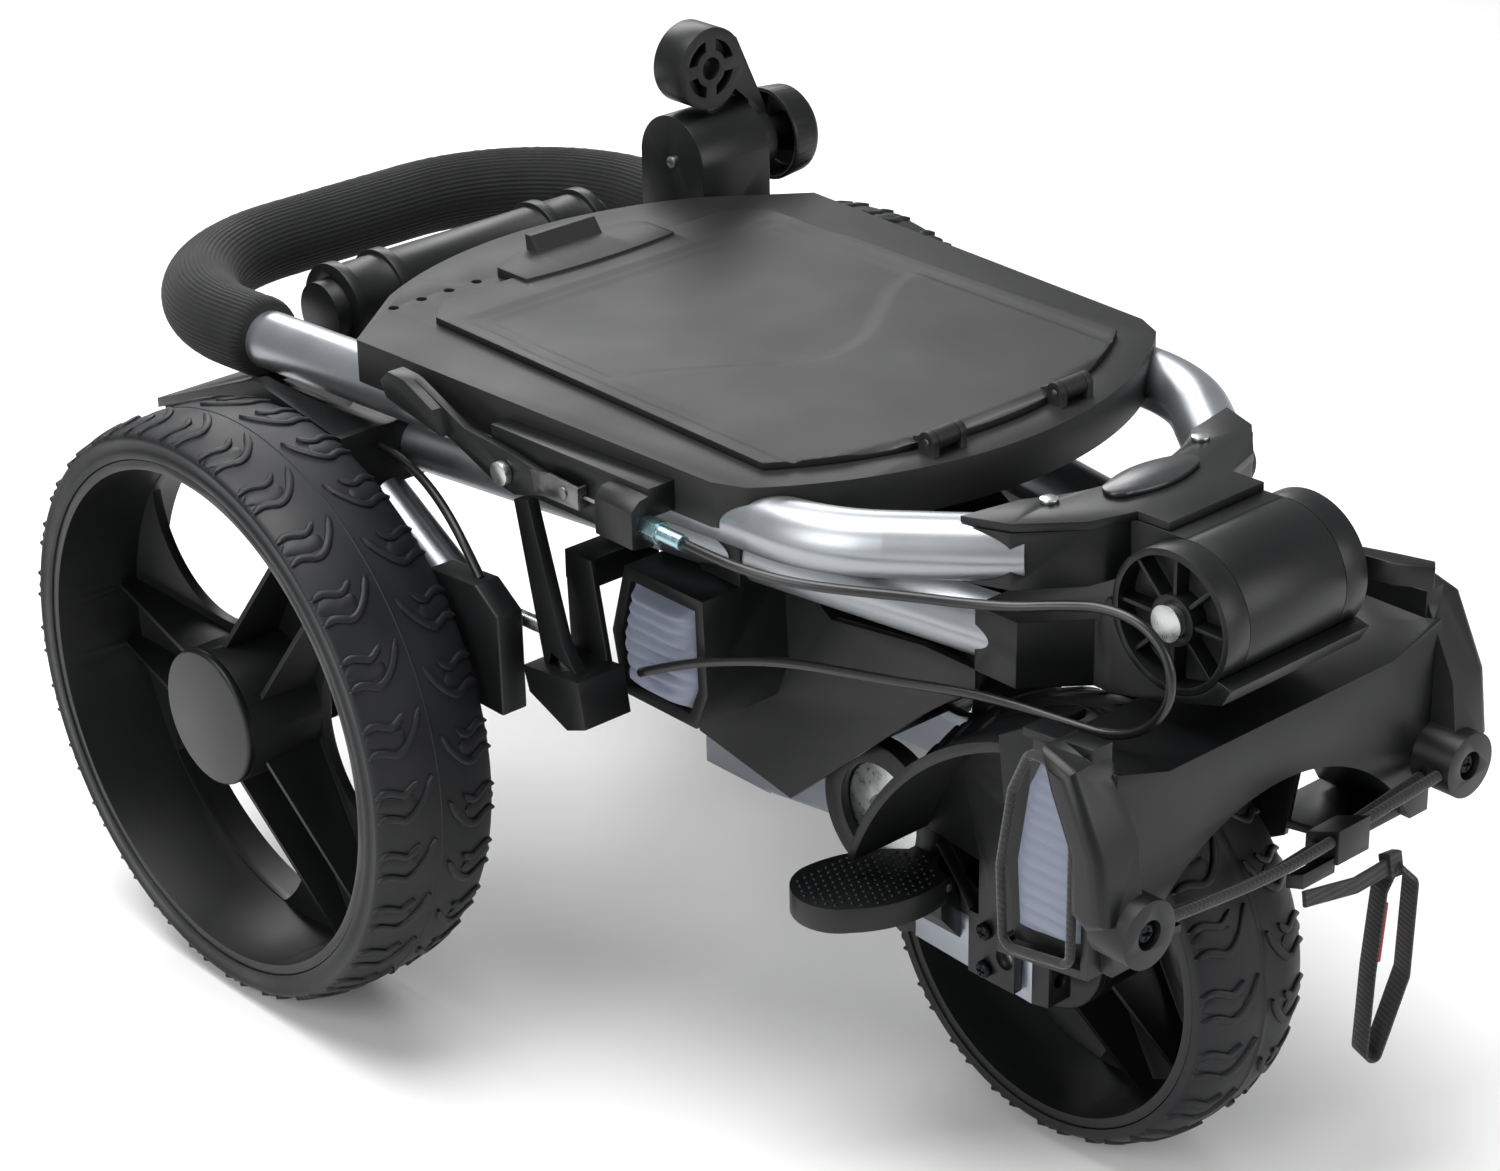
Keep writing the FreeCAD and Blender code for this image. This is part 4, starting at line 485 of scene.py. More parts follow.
# %% tyre tread pattern
LONG_LUG = [(0.5, 1.0), (5, 2.4), (9, 1.2), (13, -0.6), (17, 0.6), (21, 4.2), (25, 9.6), (28.5, 17.0)]
SHORT_LUG = [(0.5, 14.0), (5, 15.4), (9, 14.2), (13, 12.4), (16.5, 13.6), (20, 17.2)]
LUG_HIGH = 1.5
PLATEAU_SUNK = 0.85
PLATEAU = [(1.0, 7.6), (6, 8.8), (11, 7.0), (15, 7.0), (18.5, 9.6)]


def smooth_line(points, steps=4):
    """A Catmull-Rom line through flat points."""
    out = []
    ends = [points[0]] + points + [points[-1]]
    for a, b, c, d in zip(ends, ends[1:], ends[2:], ends[3:]):
        for k in range(steps):
            t = k / steps
            out.append(tuple(0.5 * (2 * b[i] + (c[i] - a[i]) * t
                                    + (2 * a[i] - 5 * b[i] + 4 * c[i] - d[i]) * t * t
                                    + (3 * b[i] - a[i] - 3 * c[i] + d[i]) * t ** 3) for i in (0, 1)))
    return out + [points[-1]]


def crown_radius(x, half, radius, crown):
    return radius - crown * min(1, abs(x) / half) ** 2.4


def lug(line, width, height, half, radius, crown, mirror, verts, faces):
    """A raised ribbon on the tread; line holds (inwards from the shoulder, round) in mm."""
    path, start = smooth_line(line), len(verts)
    for i, (inward, around) in enumerate(path):
        ahead, behind = path[min(i + 1, len(path) - 1)], path[max(i - 1, 0)]
        run = Vector((ahead[0] - behind[0], ahead[1] - behind[1])).normalized()
        taper = min(1, 0.35 + 0.25 * i, 0.35 + 0.25 * (len(path) - 1 - i))
        for across, rise in ((-0.5, -0.4), (-0.42, 0.65), (-0.24, 1), (0.24, 1), (0.42, 0.65), (0.5, -0.4)):
            u = inward - run[1] * across * width * taper
            v = around + run[0] * across * width * taper
            x = half - u
            r = crown_radius(x, half, radius, crown) + (rise - 1) * height
            turn = v / radius
            verts.append((x * mirror * MM, r * math.sin(turn) * MM, r * math.cos(turn) * MM))
    for i in range(len(path) - 1):
        for k in range(5):
            a = start + i * 6 + k
            faces.append((a, a + 1, a + 7, a + 6))
    faces += [tuple(start + k for k in range(6)),
              tuple(start + (len(path) - 1) * 6 + k for k in reversed(range(6)))]


# %% [markdown]
# The node group takes one pattern, a count and an offset, puts a point for each copy on the axle, turns
# the copies about X and makes them real. It serves the tyres and anything else that goes round.

# %% repeat round an axle
def repeat_group():
    group = bpy.data.node_groups.new("repeat_round_x", "GeometryNodeTree")
    face = group.interface
    face.new_socket("Geometry", in_out="INPUT", socket_type="NodeSocketGeometry")
    for name, kind in (("Count", "NodeSocketInt"), ("Offset", "NodeSocketFloat"),
                       ("Material", "NodeSocketMaterial")):
        face.new_socket(name, in_out="INPUT", socket_type=kind)
    face.new_socket("Geometry", in_out="OUTPUT", socket_type="NodeSocketGeometry")
    inside = add(group, "NodeGroupInput").outputs
    line = add(group, "GeometryNodeMeshLine", {"Count": inside["Count"], "Offset": (0, 0, 0)})
    index = add(group, "GeometryNodeInputIndex").outputs["Index"]
    shifted = add(group, "ShaderNodeMath", {0: index, 1: inside["Offset"]}, operation="ADD").outputs["Value"]
    share = add(group, "ShaderNodeMath", {0: shifted, 1: inside["Count"]},
                operation="DIVIDE").outputs["Value"]
    angle = add(group, "ShaderNodeMath", {0: share, 1: 2 * math.pi}, operation="MULTIPLY").outputs["Value"]
    turn = add(group, "ShaderNodeCombineXYZ", {"X": angle}).outputs["Vector"]
    copies = add(group, "GeometryNodeInstanceOnPoints", {"Points": line.outputs["Mesh"],
                                                         "Instance": inside["Geometry"], "Rotation": turn})
    real = add(group, "GeometryNodeRealizeInstances", {"Geometry": copies.outputs["Instances"]})
    painted = add(group, "GeometryNodeSetMaterial", {"Geometry": real.outputs["Geometry"],
                                                     "Material": inside["Material"]})
    add(group, "NodeGroupOutput", {"Geometry": painted.outputs["Geometry"]})
    return group


def grow(holder, group, values):
    """Evaluate a node group on an object and keep the plain mesh."""
    modifier = holder.modifiers.new("grow", "NODES")
    modifier.node_group = group
    for item in group.interface.items_tree:
        if item.in_out == "INPUT" and item.name in values:
            modifier[item.identifier] = values[item.name]
    bpy.context.view_layer.update()
    made = bpy.data.meshes.new_from_object(holder.evaluated_get(bpy.context.evaluated_depsgraph_get()))
    holder.modifiers.clear()
    return made


REPEAT = repeat_group()


def around_axle(verts, faces, count, offset, material):
    """The pattern, drawn about the X axis, as verts and faces of all its copies."""
    holder = make_piece("pattern", verts, faces, material)
    made = grow(holder, REPEAT, {"Count": count, "Offset": offset, "Material": material})
    out = [v.co.copy() for v in made.vertices], [tuple(p.vertices) for p in made.polygons]
    bpy.data.objects.remove(holder)
    bpy.data.meshes.remove(made)
    return out


# %% [markdown]
# The casing under the lugs is turned: a flat seat on the rim, a lip, a sidewall with a stepped ring, a
# rounded shoulder and the crowned tread, with the mould's parting line standing 0.3 mm proud.

# %% tyres
def make_tyre(node, seat_dia, crown, count):
    low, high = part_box(node)
    half, radius = (high.x - low.x) / 2 / MM, (high.z - low.z) / 2 / MM
    centre = (low + high) / 2
    side = [(half - 3, seat_dia / 2), (half - 0.4, seat_dia / 2 + 0.6), (half, seat_dia / 2 + 1.6),
            (half, seat_dia / 2 + 4.2), (half - 0.5, seat_dia / 2 + 4.8), (half - 0.5, radius - crown - 4.4),
            (half - 0.1, radius - crown - 3.8), (half - 0.1, radius - crown - 2.6),
            (half - 0.8, radius - crown - 1.5),
            (half - 2.4, crown_radius(half - 2.4, half, radius, crown) - LUG_HIGH)]
    inner = half - 5
    while inner > 1.2:
        side.append((inner, crown_radius(inner, half, radius, crown) - LUG_HIGH))
        inner -= 4
    side += [(0.7, radius - LUG_HIGH), (0.35, radius - LUG_HIGH + 0.3)]
    profile = [(-x, r) for x, r in side] + [(x, r) for x, r in reversed(side)]
    turns = 144
    verts = [(x * MM, r * math.sin(2 * math.pi * k / turns) * MM, r * math.cos(2 * math.pi * k / turns) * MM)
             for k in range(turns) for x, r in profile]
    faces = []
    for k in range(turns):
        for i in range(len(profile)):
            a, b = k * len(profile), (k + 1) % turns * len(profile)
            j = (i + 1) % len(profile)
            faces.append((a + i, a + j, b + j, b + i))
    for mirror, offset in ((-1, 0.0), (1, 0.5)):
        pattern_v, pattern_f = [], []
        for line, width, sunk in ((LONG_LUG, 4.2, 0), (SHORT_LUG, 4.0, 0), (PLATEAU, 9.5, PLATEAU_SUNK)):
            lug(line, width, LUG_HIGH, half, radius - sunk, crown, mirror, pattern_v, pattern_f)
        more_v, more_f = around_axle(pattern_v, pattern_f, count, offset, tyre_rubber)
        faces += [tuple(i + len(verts) for i in f) for f in more_f]
        verts += more_v
    piece = make_piece(node + "_tread", [Vector(v) + centre for v in verts], faces, tyre_rubber)
    outward(piece.data)
    piece.data.polygons.foreach_set("use_smooth", [True] * len(piece.data.polygons))
    piece.data.set_sharp_from_angle(angle=math.radians(40))
    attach(piece, BODY_OF[node])
    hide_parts(node)
    print(node, "radius", round(radius, 1), "faces", len(piece.data.polygons))


REAR_SEAT, REAR_CROWN, REAR_PAIRS = 254, 5, 28
FRONT_SEAT, FRONT_CROWN, FRONT_PAIRS = 176, 8, 20
for node in ("left_tyre", "right_tyre"):
    make_tyre(node, REAR_SEAT, REAR_CROWN, REAR_PAIRS)
make_tyre("front_tyre", FRONT_SEAT, FRONT_CROWN, FRONT_PAIRS)

# %% [markdown]
# The grip is one tube of EVA foam, pushed over the bent handle. It is extruded with fine ribs along its
# length, and where it goes round a corner the foam creases a little on the inside.

# %% foam grip
TILT = Matrix.Rotation(math.radians(-1.76), 4, "X")
BARREL = Vector((0, -297.9, 290))
TUBE_RISE, REAR_BEND = 19.0, 90
GRIP_START, GRIP_HALF = 497, 129.95
HANDLE_REACH, HANDLE_HALF = 615.4, 135


def handle_point(x, y):
    """From the handle's own plane to the row frame, in metres."""
    return (TILT @ Vector((x, y, TUBE_RISE)) + BARREL) * MM


corners = [(-GRIP_HALF, GRIP_START, 0), (-HANDLE_HALF, HANDLE_REACH, 0), (HANDLE_HALF, HANDLE_REACH, 0),
           (GRIP_HALF, GRIP_START, 0)]
flat = evenly(rounded_route(corners, REAR_BEND, step=math.radians(2)), 4)
grip_line = [handle_point(p.x, p.y) for p in flat]
RIBS = 52


def grip_ring(along):
    ends = min(1, (along + 0.0005) / 0.003, (0.5 - along) / 0.003) if along < 0.5 else 1
    crease = 0.00022 * math.sin(along * 900) * math.sin(along * 130 + 0.7)
    ring = []
    for k in range(RIBS * 4):
        turn = 2 * math.pi * k / (RIBS * 4)
        r = 0.0193 + 0.00032 * math.cos(RIBS * turn) - 0.0022 * (1 - ends)
        r += crease * (0.5 + 0.5 * math.cos(turn))
        ring.append((r * math.cos(turn), r * math.sin(turn)))
    return ring


grip = make_piece("foam_grip_skin", *sweep(grip_line, grip_ring), eva_foam)
outward(grip.data)
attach(grip, BODY_OF["foam_grip"])
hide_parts("foam_grip")
print("grip follows", len(grip_line), "points")

# %% [markdown]
# The brake cable is one vinyl-sheathed length. It leaves the adjuster under the lever, runs along the
# console to the main hinge, loops round beside it and comes back as far as the left upper bag pad, where it
# stops with nothing on its end. It crosses the hinge as one mesh that is not attached to either body.
# A separate short length sits at each brake box.

# %% brake cable
UPPER_CABLE = [(-149, -264.05, 301), (-148.5, -281, 300.4), (-145, -300, 299), (-137, -319, 297.6),
               (-125, -337, 296.7), (-110, -356, 295.7), (-95, -376, 294.3)]
LOWER_CABLE = [(-85.5, -392, 295.2), (-77, -409, 299), (-70.5, -427, 302.5), (-66.5, -445, 300),
               (-65, -458, 288.5), (-66, -460.5, 271.5), (-69, -452, 256.5), (-74, -437, 249.5),
               (-78, -418, 249.5), (-83, -396, 250.5), (-88, -370, 249.4), (-97, -340, 246),
               (-104, -310, 243), (-111, -280, 239), (-117, -252, 231), (-120.5, -226, 221),
               (-123, -202, 209)]
AXLE = Vector((0, 139.5, 0))


def spline(name, lines, diameter, material, resolution=10):
    """Cords as NURBS through route points that are counted in mm from the rear axle."""
    curve = bpy.data.curves.new(name, "CURVE")
    curve.dimensions = "3D"
    curve.bevel_depth = diameter / 2 * MM
    curve.bevel_resolution = 3
    curve.use_fill_caps = True
    for line in lines:
        strand = curve.splines.new("NURBS")
        strand.points.add(len(line) - 1)
        for point, place in zip(strand.points, line):
            point.co = (*((Vector(place) + AXLE) * MM), 1)
        strand.order_u = 3
        strand.use_endpoint_u = True
        strand.resolution_u = resolution
    curve.materials.append(material)
    piece = bpy.data.objects.new(name, curve)
    bpy.context.collection.objects.link(piece)
    return piece


def as_mesh(piece):
    """Swap a curve piece for its plain mesh."""
    made = bpy.data.meshes.new_from_object(piece.evaluated_get(bpy.context.evaluated_depsgraph_get()))
    name = piece.name
    bpy.data.objects.remove(piece)
    solid = bpy.data.objects.new(name, made)
    bpy.context.collection.objects.link(solid)
    outward(made)
    return solid


cable = as_mesh(spline("brake_cable", [UPPER_CABLE + LOWER_CABLE], 4.4, cable_vinyl))


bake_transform(cable)
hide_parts("brake_cable_upper", "brake_cable_lower")

BOX_CABLE = [(148, -122, 236), (147.6, -112.5, 246.5), (145.4, -99, 256.5), (142, -82, 263.6),
             (138, -63, 267), (134.5, -45, 267.5), (133, -30.2, 267.6)]
box_lines = [[(side * x, y, z) for x, y, z in BOX_CABLE] for side in (-1, 1)]
box_cables = spline("brake_box_cables", box_lines, 4.4, cable_vinyl)
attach(box_cables, "chassis")
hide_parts("brake_cable_lower")
wire = spline("brake_wire", [[(-149, -239, 301), (-149, -228, 301), (-149, -212, 301), (-149, -200.5, 301)]],
              1.6, zinc_steel)
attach(wire, "handle")
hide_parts("brake_cable_upper")

# %% [markdown]
# Two braided elastic cords of 5 mm run between the bosses and pass through the cord lock. Each bag pad
# is held in its frame by a thinner loop of the same elastic.

# %% bag cords and pad loops
BX, BZ = 85.4, 189
FRONT_CORD = [(-BX, -479, BZ - 1), (-BX + 34, -480, BZ - 4), (-BX + 68, -480.5, BZ - 6),
              (-BX + 102, -480.5, BZ - 4.5), (-BX + 136, -480, BZ - 2), (BX, -479, BZ - 1)]
REAR_CORD = [(-BX, -470, BZ - 5), (-BX + 33, -471.5, BZ - 10), (-BX + 68, -472, BZ - 13),
             (-BX + 104, -472, BZ - 10.5), (-BX + 138, -471, BZ - 7.5), (BX, -470, BZ - 5)]
bag_cords = spline("bag_cords", [FRONT_CORD, REAR_CORD], 5, elastic_braid)
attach(bag_cords, BODY_OF["bungee_cord"])
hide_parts("bungee_cord")

LOOP = [(-413.2, 157), (-450.7, 164), (-450.7, 224), (-441, 246), (-437, 252), (-426.5, 252),
        (-417.2, 231.5), (-411.3, 195)]
for side in (-1, 1):
    line = rounded_route([Vector((side * 110.4, y + 139.5, z)) * MM for y, z in LOOP], 0.006, closed=True)
    band = make_piece("pad_loop_%s" % ("left" if side < 0 else "right"),
                      *sweep(line, circle(0.0021, 10), closed=True), elastic_braid)
    outward(band.data)
    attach(band, BODY_OF["pad_loops"])
    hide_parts("pad_loops")

# %% [markdown]
# The bag rests on soft ribbed pads. Each is moulded as a shallow pillow with ribs across it, so its face
# is built level by level: the outline's two edges are found at each height, and the thickness swells
# between them and beats with the ribs.

# %% ribbed pads
CRADLE_PAD = [(-416, 166), (-450, 171), (-450, 234), (-441, 249), (-428, 249), (-420, 232), (-414, 195)]
UPPER_PAD = [(-181, 193), (-221.5, 193), (-227.5, 206), (-226.5, 243), (-184.5, 243), (-177, 215)]


def edges_at(outline, height):
    """Where an outline in (y, z) is cut at a height."""
    cuts = []
    for (y0, z0), (y1, z1) in zip(outline, outline[1:] + outline[:1]):
        if (z0 - height) * (z1 - height) < 0:
            cuts.append(y0 + (y1 - y0) * (height - z0) / (z1 - z0))
    return min(cuts), max(cuts)


def ribbed_pad(node, outline, side, x_back, x_face, rib_mm):
    rows, columns = 132, 13
    low, high = min(z for y, z in outline) + 0.05, max(z for y, z in outline) - 0.05
    verts, faces = [], []
    for layer in (0, 1):
        for r in range(rows + 1):
            z = low + (high - low) * r / rows
            y0, y1 = edges_at(outline, z)
            rim = min(1, (z - low) / 4, (high - z) / 4) if layer else 1
            for c in range(columns + 1):
                t = c / columns
                swell = (1 - abs(2 * t - 1) ** 5) * math.sin(math.pi / 2 * rim)
                rib = 0.5 + 0.5 * math.cos(2 * math.pi * (z - low) / rib_mm + 0.8 * (2 * t - 1) ** 2)
                depth = (0.35 + 0.45 * swell + 0.2 * rib ** 0.6 * swell) if layer else 0.0
                x = side * (x_back + (x_face - x_back) * depth)
                verts.append(Vector((x, y0 + (y1 - y0) * t + 139.5, z)) * MM)
    wide = columns + 1
    layer_size = (rows + 1) * wide
    for layer in (0, 1):
        for r in range(rows):
            for c in range(columns):
                a = layer * layer_size + r * wide + c
                faces.append((a, a + 1, a + wide + 1, a + wide))
    border = [c for c in range(wide)] + [r * wide + columns for r in range(1, rows + 1)]
    border += [rows * wide + c for c in reversed(range(columns))]
    border += [r * wide for r in reversed(range(1, rows))]
    for a, b in zip(border, border[1:] + border[:1]):
        faces.append((a, b, b + layer_size, a + layer_size))
    pad = make_piece("%s_%s" % (node, "left" if side < 0 else "right"), verts, faces, pad_rubber)
    outward(pad.data)
    pad.data.set_sharp_from_angle(angle=math.radians(50))
    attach(pad, BODY_OF[node])
    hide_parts(node)


for side in (-1, 1):
    ribbed_pad("cradle_pads", CRADLE_PAD, side, 101.1, 107, 6.6)
    ribbed_pad("upper_bag_pads", UPPER_PAD, side, 104.5, 118, 6.6)

# %% [markdown]
# The pull strap is polyester webbing 12 mm wide: one run from the cord lock to the right, ending in a
# sewn loop that hangs down, whose inner face carries a red woven patch.


# %% pull strap
SECTION = [(-0.5, -0.3), (-0.46, 0.5), (0.46, 0.5), (0.5, 0.3), (0.5, -0.3), (0.46, -0.5), (-0.46, -0.5),
           (-0.5, 0.3)]


def ribbon(name, line, width, thick, facing, material):
    """Webbing along a line; facing is the direction its width lies in."""
    verts, faces = [], []
    for i, point in enumerate(line):
        run = (line[min(i + 1, len(line) - 1)] - line[max(i - 1, 0)]).normalized()
        wide = (facing - run * facing.dot(run)).normalized()
        out = run.cross(wide)
        for a, b in SECTION:
            verts.append(point + wide * a * width + out * b * thick)
    order = (0, 7, 1, 2, 3, 4, 5, 6)
    for i in range(len(line) - 1):
        for k in range(8):
            a, b = order[k], order[(k + 1) % 8]
            faces.append((i * 8 + a, i * 8 + b, i * 8 + 8 + b, i * 8 + 8 + a))
    faces += [tuple(order), tuple((len(line) - 1) * 8 + k for k in reversed(order))]
    piece = make_piece(name, verts, faces, material)
    outward(piece.data)
    piece.data.set_sharp_from_angle(angle=math.radians(50))
    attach(piece, BODY_OF["pull_strap"])
    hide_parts("pull_strap")


def strap_line(points, radius):
    return evenly(rounded_route([(Vector((x, y, z)) + AXLE) * MM for x, y, z in points], radius), 0.003)


run_out = [(-1, -480, 163), (30, -482, 158), (58, -480, 157)]
hanging = [(58, -481, 158), (65, -484, 150), (62, -485, 104), (50, -481, 64), (44, -479, 66),
           (50, -476, 106), (53, -477, 146), (57, -479, 157)]
ribbon("strap_run", strap_line(run_out, 0.01), 0.007, 0.0022, Vector((0, 0.3, 1)), webbing_cloth)
ribbon("strap_loop", strap_line(hanging, 0.006), 0.012, 0.0014, Vector((0.35, 1, 0)), webbing_cloth)
patch_line = strap_line([(51.5, -476.6, 112), (53.6, -477.2, 140)], 0.01)
ribbon("strap_patch", patch_line, 0.011, 0.0022, Vector((0.35, 1, 0)), red_patch)
wrap_line = strap_line([(52, -480, 157.5), (60, -480, 156.5)], 0.01)
ribbon("strap_wrap", wrap_line, 0.011, 0.0062, Vector((0, 0.3, 1)), webbing_cloth)

# %% [markdown]
# The pouch is a limp bag sewn under the console's opening. Its CAD tub is cut into small faces, which
# are pushed inwards by a slow noise that hangs in vertical folds, so that it looks like cloth.

# %% pouch
work = bmesh.new()
work.from_mesh(frame["nodes"]["storage_pouch"].data)
bmesh.ops.remove_doubles(work, verts=work.verts, dist=CAD_WELD)
bmesh.ops.triangulate(work, faces=work.faces)
for _ in range(6):
    long_edges = [e for e in work.edges if e.calc_length() > 0.008]
    if long_edges:
        bmesh.ops.subdivide_edges(work, edges=long_edges, cuts=1)
        bmesh.ops.triangulate(work, faces=work.faces)
work.normal_update()
top = max(v.co.z for v in work.verts)
for vert in work.verts:
    slack = min(1, (top - vert.co.z) / 0.012)
    fold = noise.noise(Vector((vert.co.x * 45, vert.co.y * 45, vert.co.z * 14)))
    crease = noise.noise(Vector((vert.co.x * 110, vert.co.y * 110, vert.co.z * 60)))
    inward = Vector((-math.copysign(1, vert.co.x) * 0.7, -math.copysign(0.7, vert.co.y + 0.027), 0.8))
    vert.co += inward * slack * (0.0012 + 0.0016 * fold + 0.0006 * crease)
cloth = bpy.data.meshes.new("storage_pouch_cloth")
work.to_mesh(cloth)
work.free()
cloth.polygons.foreach_set("use_smooth", [True] * len(cloth.polygons))
cloth.materials.append(pouch_cloth)
pouch = bpy.data.objects.new("storage_pouch_cloth", cloth)
bpy.context.collection.objects.link(pouch)
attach(pouch, BODY_OF["storage_pouch"])
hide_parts("storage_pouch")
print("pouch faces", len(cloth.polygons))

# %% [markdown]
# The lid is a thin moulding that would drum if it were flat, so its face is shaped: a raised panel inside
# a narrow channel, and a soft step that sweeps across it and lifts the front third. The rounded lid is
# sliced into a fine grid and only its top is moved, downwards, by 1.3 mm at the most.

# %% lid relief
def smooth_step(low, high, value):
    t = min(1, max(0, (value - low) / (high - low)))
    return t * t * (3 - 2 * t)


def lid_drop(x, y):
    """How far the lid's face lies under its highest level, in mm, at a place in mm."""
    half = 96 - 0.0006 * max(0, y) ** 2
    from_side = half - abs(x)
    from_front = y + 158 - 0.0017 * x * x
    from_rear = 84 - y
    inside = min(from_side, from_front, from_rear)
    channel = smooth_step(-3.2, -1.6, inside) - smooth_step(-0.2, 1.6, inside)
    step_at = -62 + 46 * (1 - math.cos(math.pi * min(1, abs(x) / 96))) / 2
    rear_panel = smooth_step(0, 6, y - step_at) * smooth_step(0, 5, inside)
    return 1.1 * max(0, channel) + 1.3 * rear_panel


lid_piece = bpy.data.objects["lid_shell"]
work = bmesh.new()
work.from_mesh(lid_piece.data)
lid_low, lid_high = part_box("lid")
FACE_Z, SLICE = 0.3258, 0.0028
for axis, start, stop in ((Vector((1, 0, 0)), lid_low.x, lid_high.x), (Vector((0, 1, 0)), -0.163, 0.096)):
    for k in range(1, int((stop - start) / SLICE)):
        bmesh.ops.bisect_plane(work, geom=work.verts[:] + work.edges[:] + work.faces[:],
                               plane_co=axis * (start + SLICE * k), plane_no=axis)
moved = 0
for vert in work.verts:
    if abs(vert.co.z - FACE_Z) < 0.0001 and -0.159 < vert.co.y < 0.094:
        vert.co.z -= lid_drop(vert.co.x / MM, vert.co.y / MM) * MM
        moved += 1
work.to_mesh(lid_piece.data)
work.free()
lid_piece.data.polygons.foreach_set("use_smooth", [True] * len(lid_piece.data.polygons))
lid_piece.data.set_sharp_from_angle(angle=math.radians(40))
print("lid face points moved:", moved)

# %% [markdown]
# Small things that repeat stand on points: raised dots give the pedal its grip, and pan-head screws close
# the mouldings. Each is drawn once, and a node group sets a copy on every point, all turned and sized as
# given, then makes the copies real.


# %% copies on points
def stand_group():
    group = bpy.data.node_groups.new("copies_on_points", "GeometryNodeTree")
    face = group.interface
    face.new_socket("Geometry", in_out="INPUT", socket_type="NodeSocketGeometry")
    for name, kind in (("Copied", "NodeSocketObject"), ("Turn", "NodeSocketVector"),
                       ("Size", "NodeSocketFloat"), ("Material", "NodeSocketMaterial")):
        face.new_socket(name, in_out="INPUT", socket_type=kind)
    face.new_socket("Geometry", in_out="OUTPUT", socket_type="NodeSocketGeometry")
    inside = add(group, "NodeGroupInput").outputs
    shape = add(group, "GeometryNodeObjectInfo", {"Object": inside["Copied"]}).outputs["Geometry"]
    turn = add(group, "FunctionNodeEulerToRotation", {"Euler": inside["Turn"]}).outputs["Rotation"]
    copies = add(group, "GeometryNodeInstanceOnPoints", {"Points": inside["Geometry"], "Instance": shape,
                                                         "Rotation": turn, "Scale": inside["Size"]})
    real = add(group, "GeometryNodeRealizeInstances", {"Geometry": copies.outputs["Instances"]})
    painted = add(group, "GeometryNodeSetMaterial", {"Geometry": real.outputs["Geometry"],
                                                     "Material": inside["Material"]})
    add(group, "NodeGroupOutput", {"Geometry": painted.outputs["Geometry"]})
    return group


STAND = stand_group()


def stand(name, points, drawn, turn, size, material, node):
    """Copies of a drawn shape on points in metres, as one piece that goes with a CAD node."""
    holder = make_piece(name, points, [], material)
    made = grow(holder, STAND, {"Copied": drawn, "Turn": turn, "Size": size, "Material": material})
    holder.data = made
    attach(holder, BODY_OF[node])
    return holder


def height_disc(name, cells, height):
    """A disc of radius 1 whose top follows a height function and whose rim goes down to -1."""
    verts, faces = [], []
    for j in range(cells + 1):
        for i in range(cells + 1):
            a, b = 2 * i / cells - 1, 2 * j / cells - 1
            x, y = a * math.sqrt(1 - b * b / 2), b * math.sqrt(1 - a * a / 2)
            edge = i in (0, cells) or j in (0, cells)
            verts.append((x, y, -0.3 if edge else height(x, y)))
    wide = cells + 1
    for j in range(cells):
        for i in range(cells):
            a = j * wide + i
            faces.append((a, a + 1, a + wide + 1, a + wide))
    return make_piece(name, verts, faces, black_plastic)


def pan_head(x, y):
    """A low dome with a cross recess; lengths are shares of the head's radius."""
    r = math.hypot(x, y)
    dome = 0.42 * (1 - r ** 4) ** 0.5 if r < 1 else 0
    slot_low = min(abs(x), abs(y))
    return dome - 0.42 * (1 - smooth_step(0.1, 0.17, slot_low)) * (1 - smooth_step(0.5, 0.62, r))


def low_dot(x, y):
    return 0.7 * max(0, 1 - x * x - y * y) ** 0.5


screw_shape = height_disc("screw_shape", 34, pan_head)
dot_shape = height_disc("dot_shape", 6, low_dot)

# %% [markdown]
# The pedal's grip dots stand 5 mm apart in staggered rows on the leaf, well inside its edge. Where the
# leaf's top is at each dot is found by dropping a ray onto it.

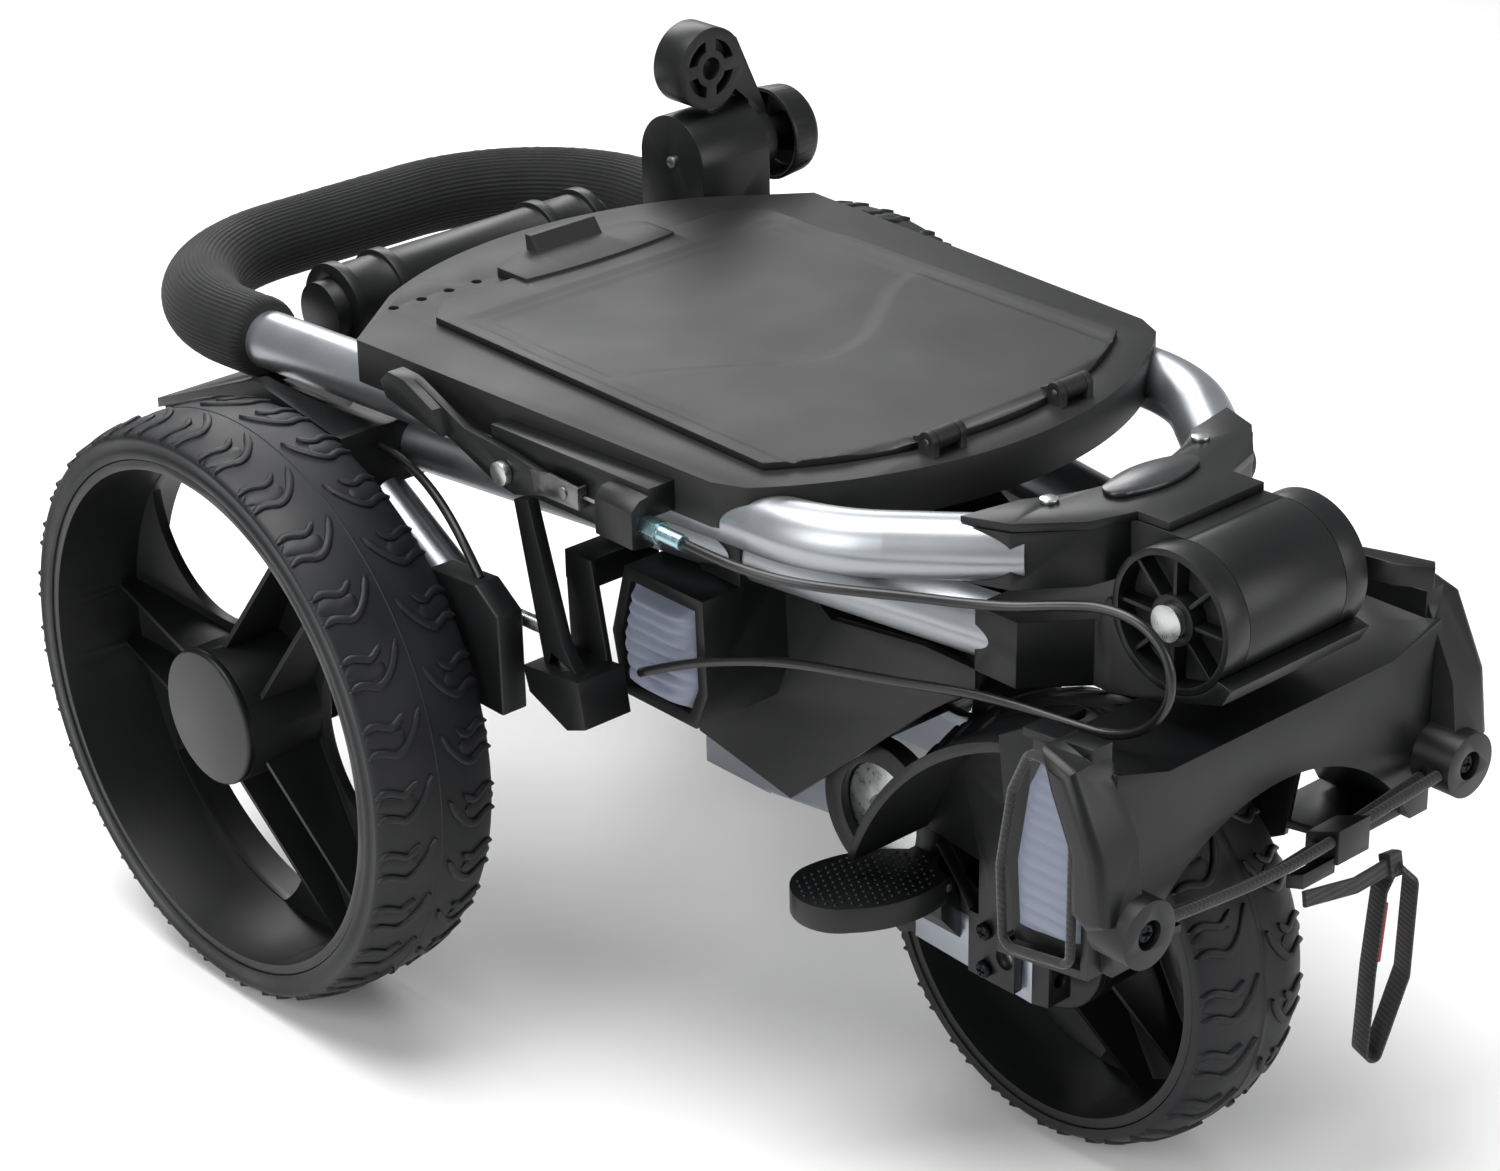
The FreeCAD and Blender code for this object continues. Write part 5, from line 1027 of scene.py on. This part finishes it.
# %% pedal dots
pedal_mesh = frame["nodes"]["foot_pedal"].data
leaf = BVHTree.FromPolygons([v.co for v in pedal_mesh.vertices], [p.vertices for p in pedal_mesh.polygons])
pedal_low, pedal_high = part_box("foot_pedal")
dots = []
for row in range(12):
    for column in range(20):
        x = pedal_low.x + (4 + column * 4.2 + row % 2 * 2.1) * MM
        y = pedal_low.y + (4 + row * 3.7) * MM
        spread = [(x + a * MM, y + b * MM) for a, b in ((0, 0), (3, 0), (-3, 0), (0, 3), (0, -3))]
        hits = [leaf.ray_cast(Vector((a, b, pedal_high.z + 0.01)), Vector((0, 0, -1)))[0] for a, b in spread]
        if all(hits) and max(abs(hit.z - hits[0].z) for hit in hits) < 0.0009:
            dots.append(hits[0] - Vector((0, 0, 0.0001)))
stand("pedal_dots", dots, dot_shape, (0, 0, 0), 0.0011, black_plastic, "foot_pedal")
print("pedal dots:", len(dots))

# %% [markdown]
# Screws: bright ones show on the lever, dark ones in the bosses, in the leg caps and in the handle's
# yoke cover. The CAD holds each as a plain disc; a head with a cross recess stands on each disc's face.

# %% screw heads
def islands(node):
    """The box of each loose solid of a CAD node, in metres."""
    work = bmesh.new()
    work.from_mesh(frame["nodes"][node].data)
    bmesh.ops.remove_doubles(work, verts=work.verts, dist=CAD_WELD)
    left, boxes = set(work.verts), []
    while left:
        group, edge_of = set(), [left.pop()]
        while edge_of:
            vert = edge_of.pop()
            group.add(vert)
            near = [e.other_vert(vert) for e in vert.link_edges]
            fresh = [n for n in near if n in left]
            left.difference_update(fresh)
            edge_of += fresh
        places = [v.co for v in group]
        boxes.append((Vector([min(p[i] for p in places) for i in range(3)]),
                      Vector([max(p[i] for p in places) for i in range(3)])))
    work.free()
    return boxes


OUTWARD_TURN = {(0, -1): (0, -math.pi / 2, 0), (0, 1): (0, math.pi / 2, 0), (1, -1): (math.pi / 2, 0.3, 0),
                (2, 1): (0, 0, 0.5)}
for node, side_material in (("fork_screws", dark_steel), ("handle_fasteners", zinc_steel)):
    made = 0
    for low, high in islands(node):
        size = high - low
        thin = min(range(3), key=lambda i: size[i])
        wide = max(size) / 2
        if max(size) < 0.005 or size[thin] > 0.6 * max(size) or sorted(size)[1] < 0.85 * max(size):
            continue
        middle = (low + high) / 2
        facing = 1 if thin == 2 else (-1 if thin == 1 else int(math.copysign(1, middle.x)))
        place = middle.copy()
        place[thin] = high[thin] if facing > 0 else low[thin]
        place[thin] -= facing * 0.0004
        stand("%s_head_%d" % (node, made), [place], screw_shape, OUTWARD_TURN[(thin, facing)], wide * 0.96,
              dark_steel if thin == 2 else side_material, node)
        made += 1
    print(node, "heads:", made)
for shape in (screw_shape, dot_shape):
    bpy.data.objects.remove(shape)
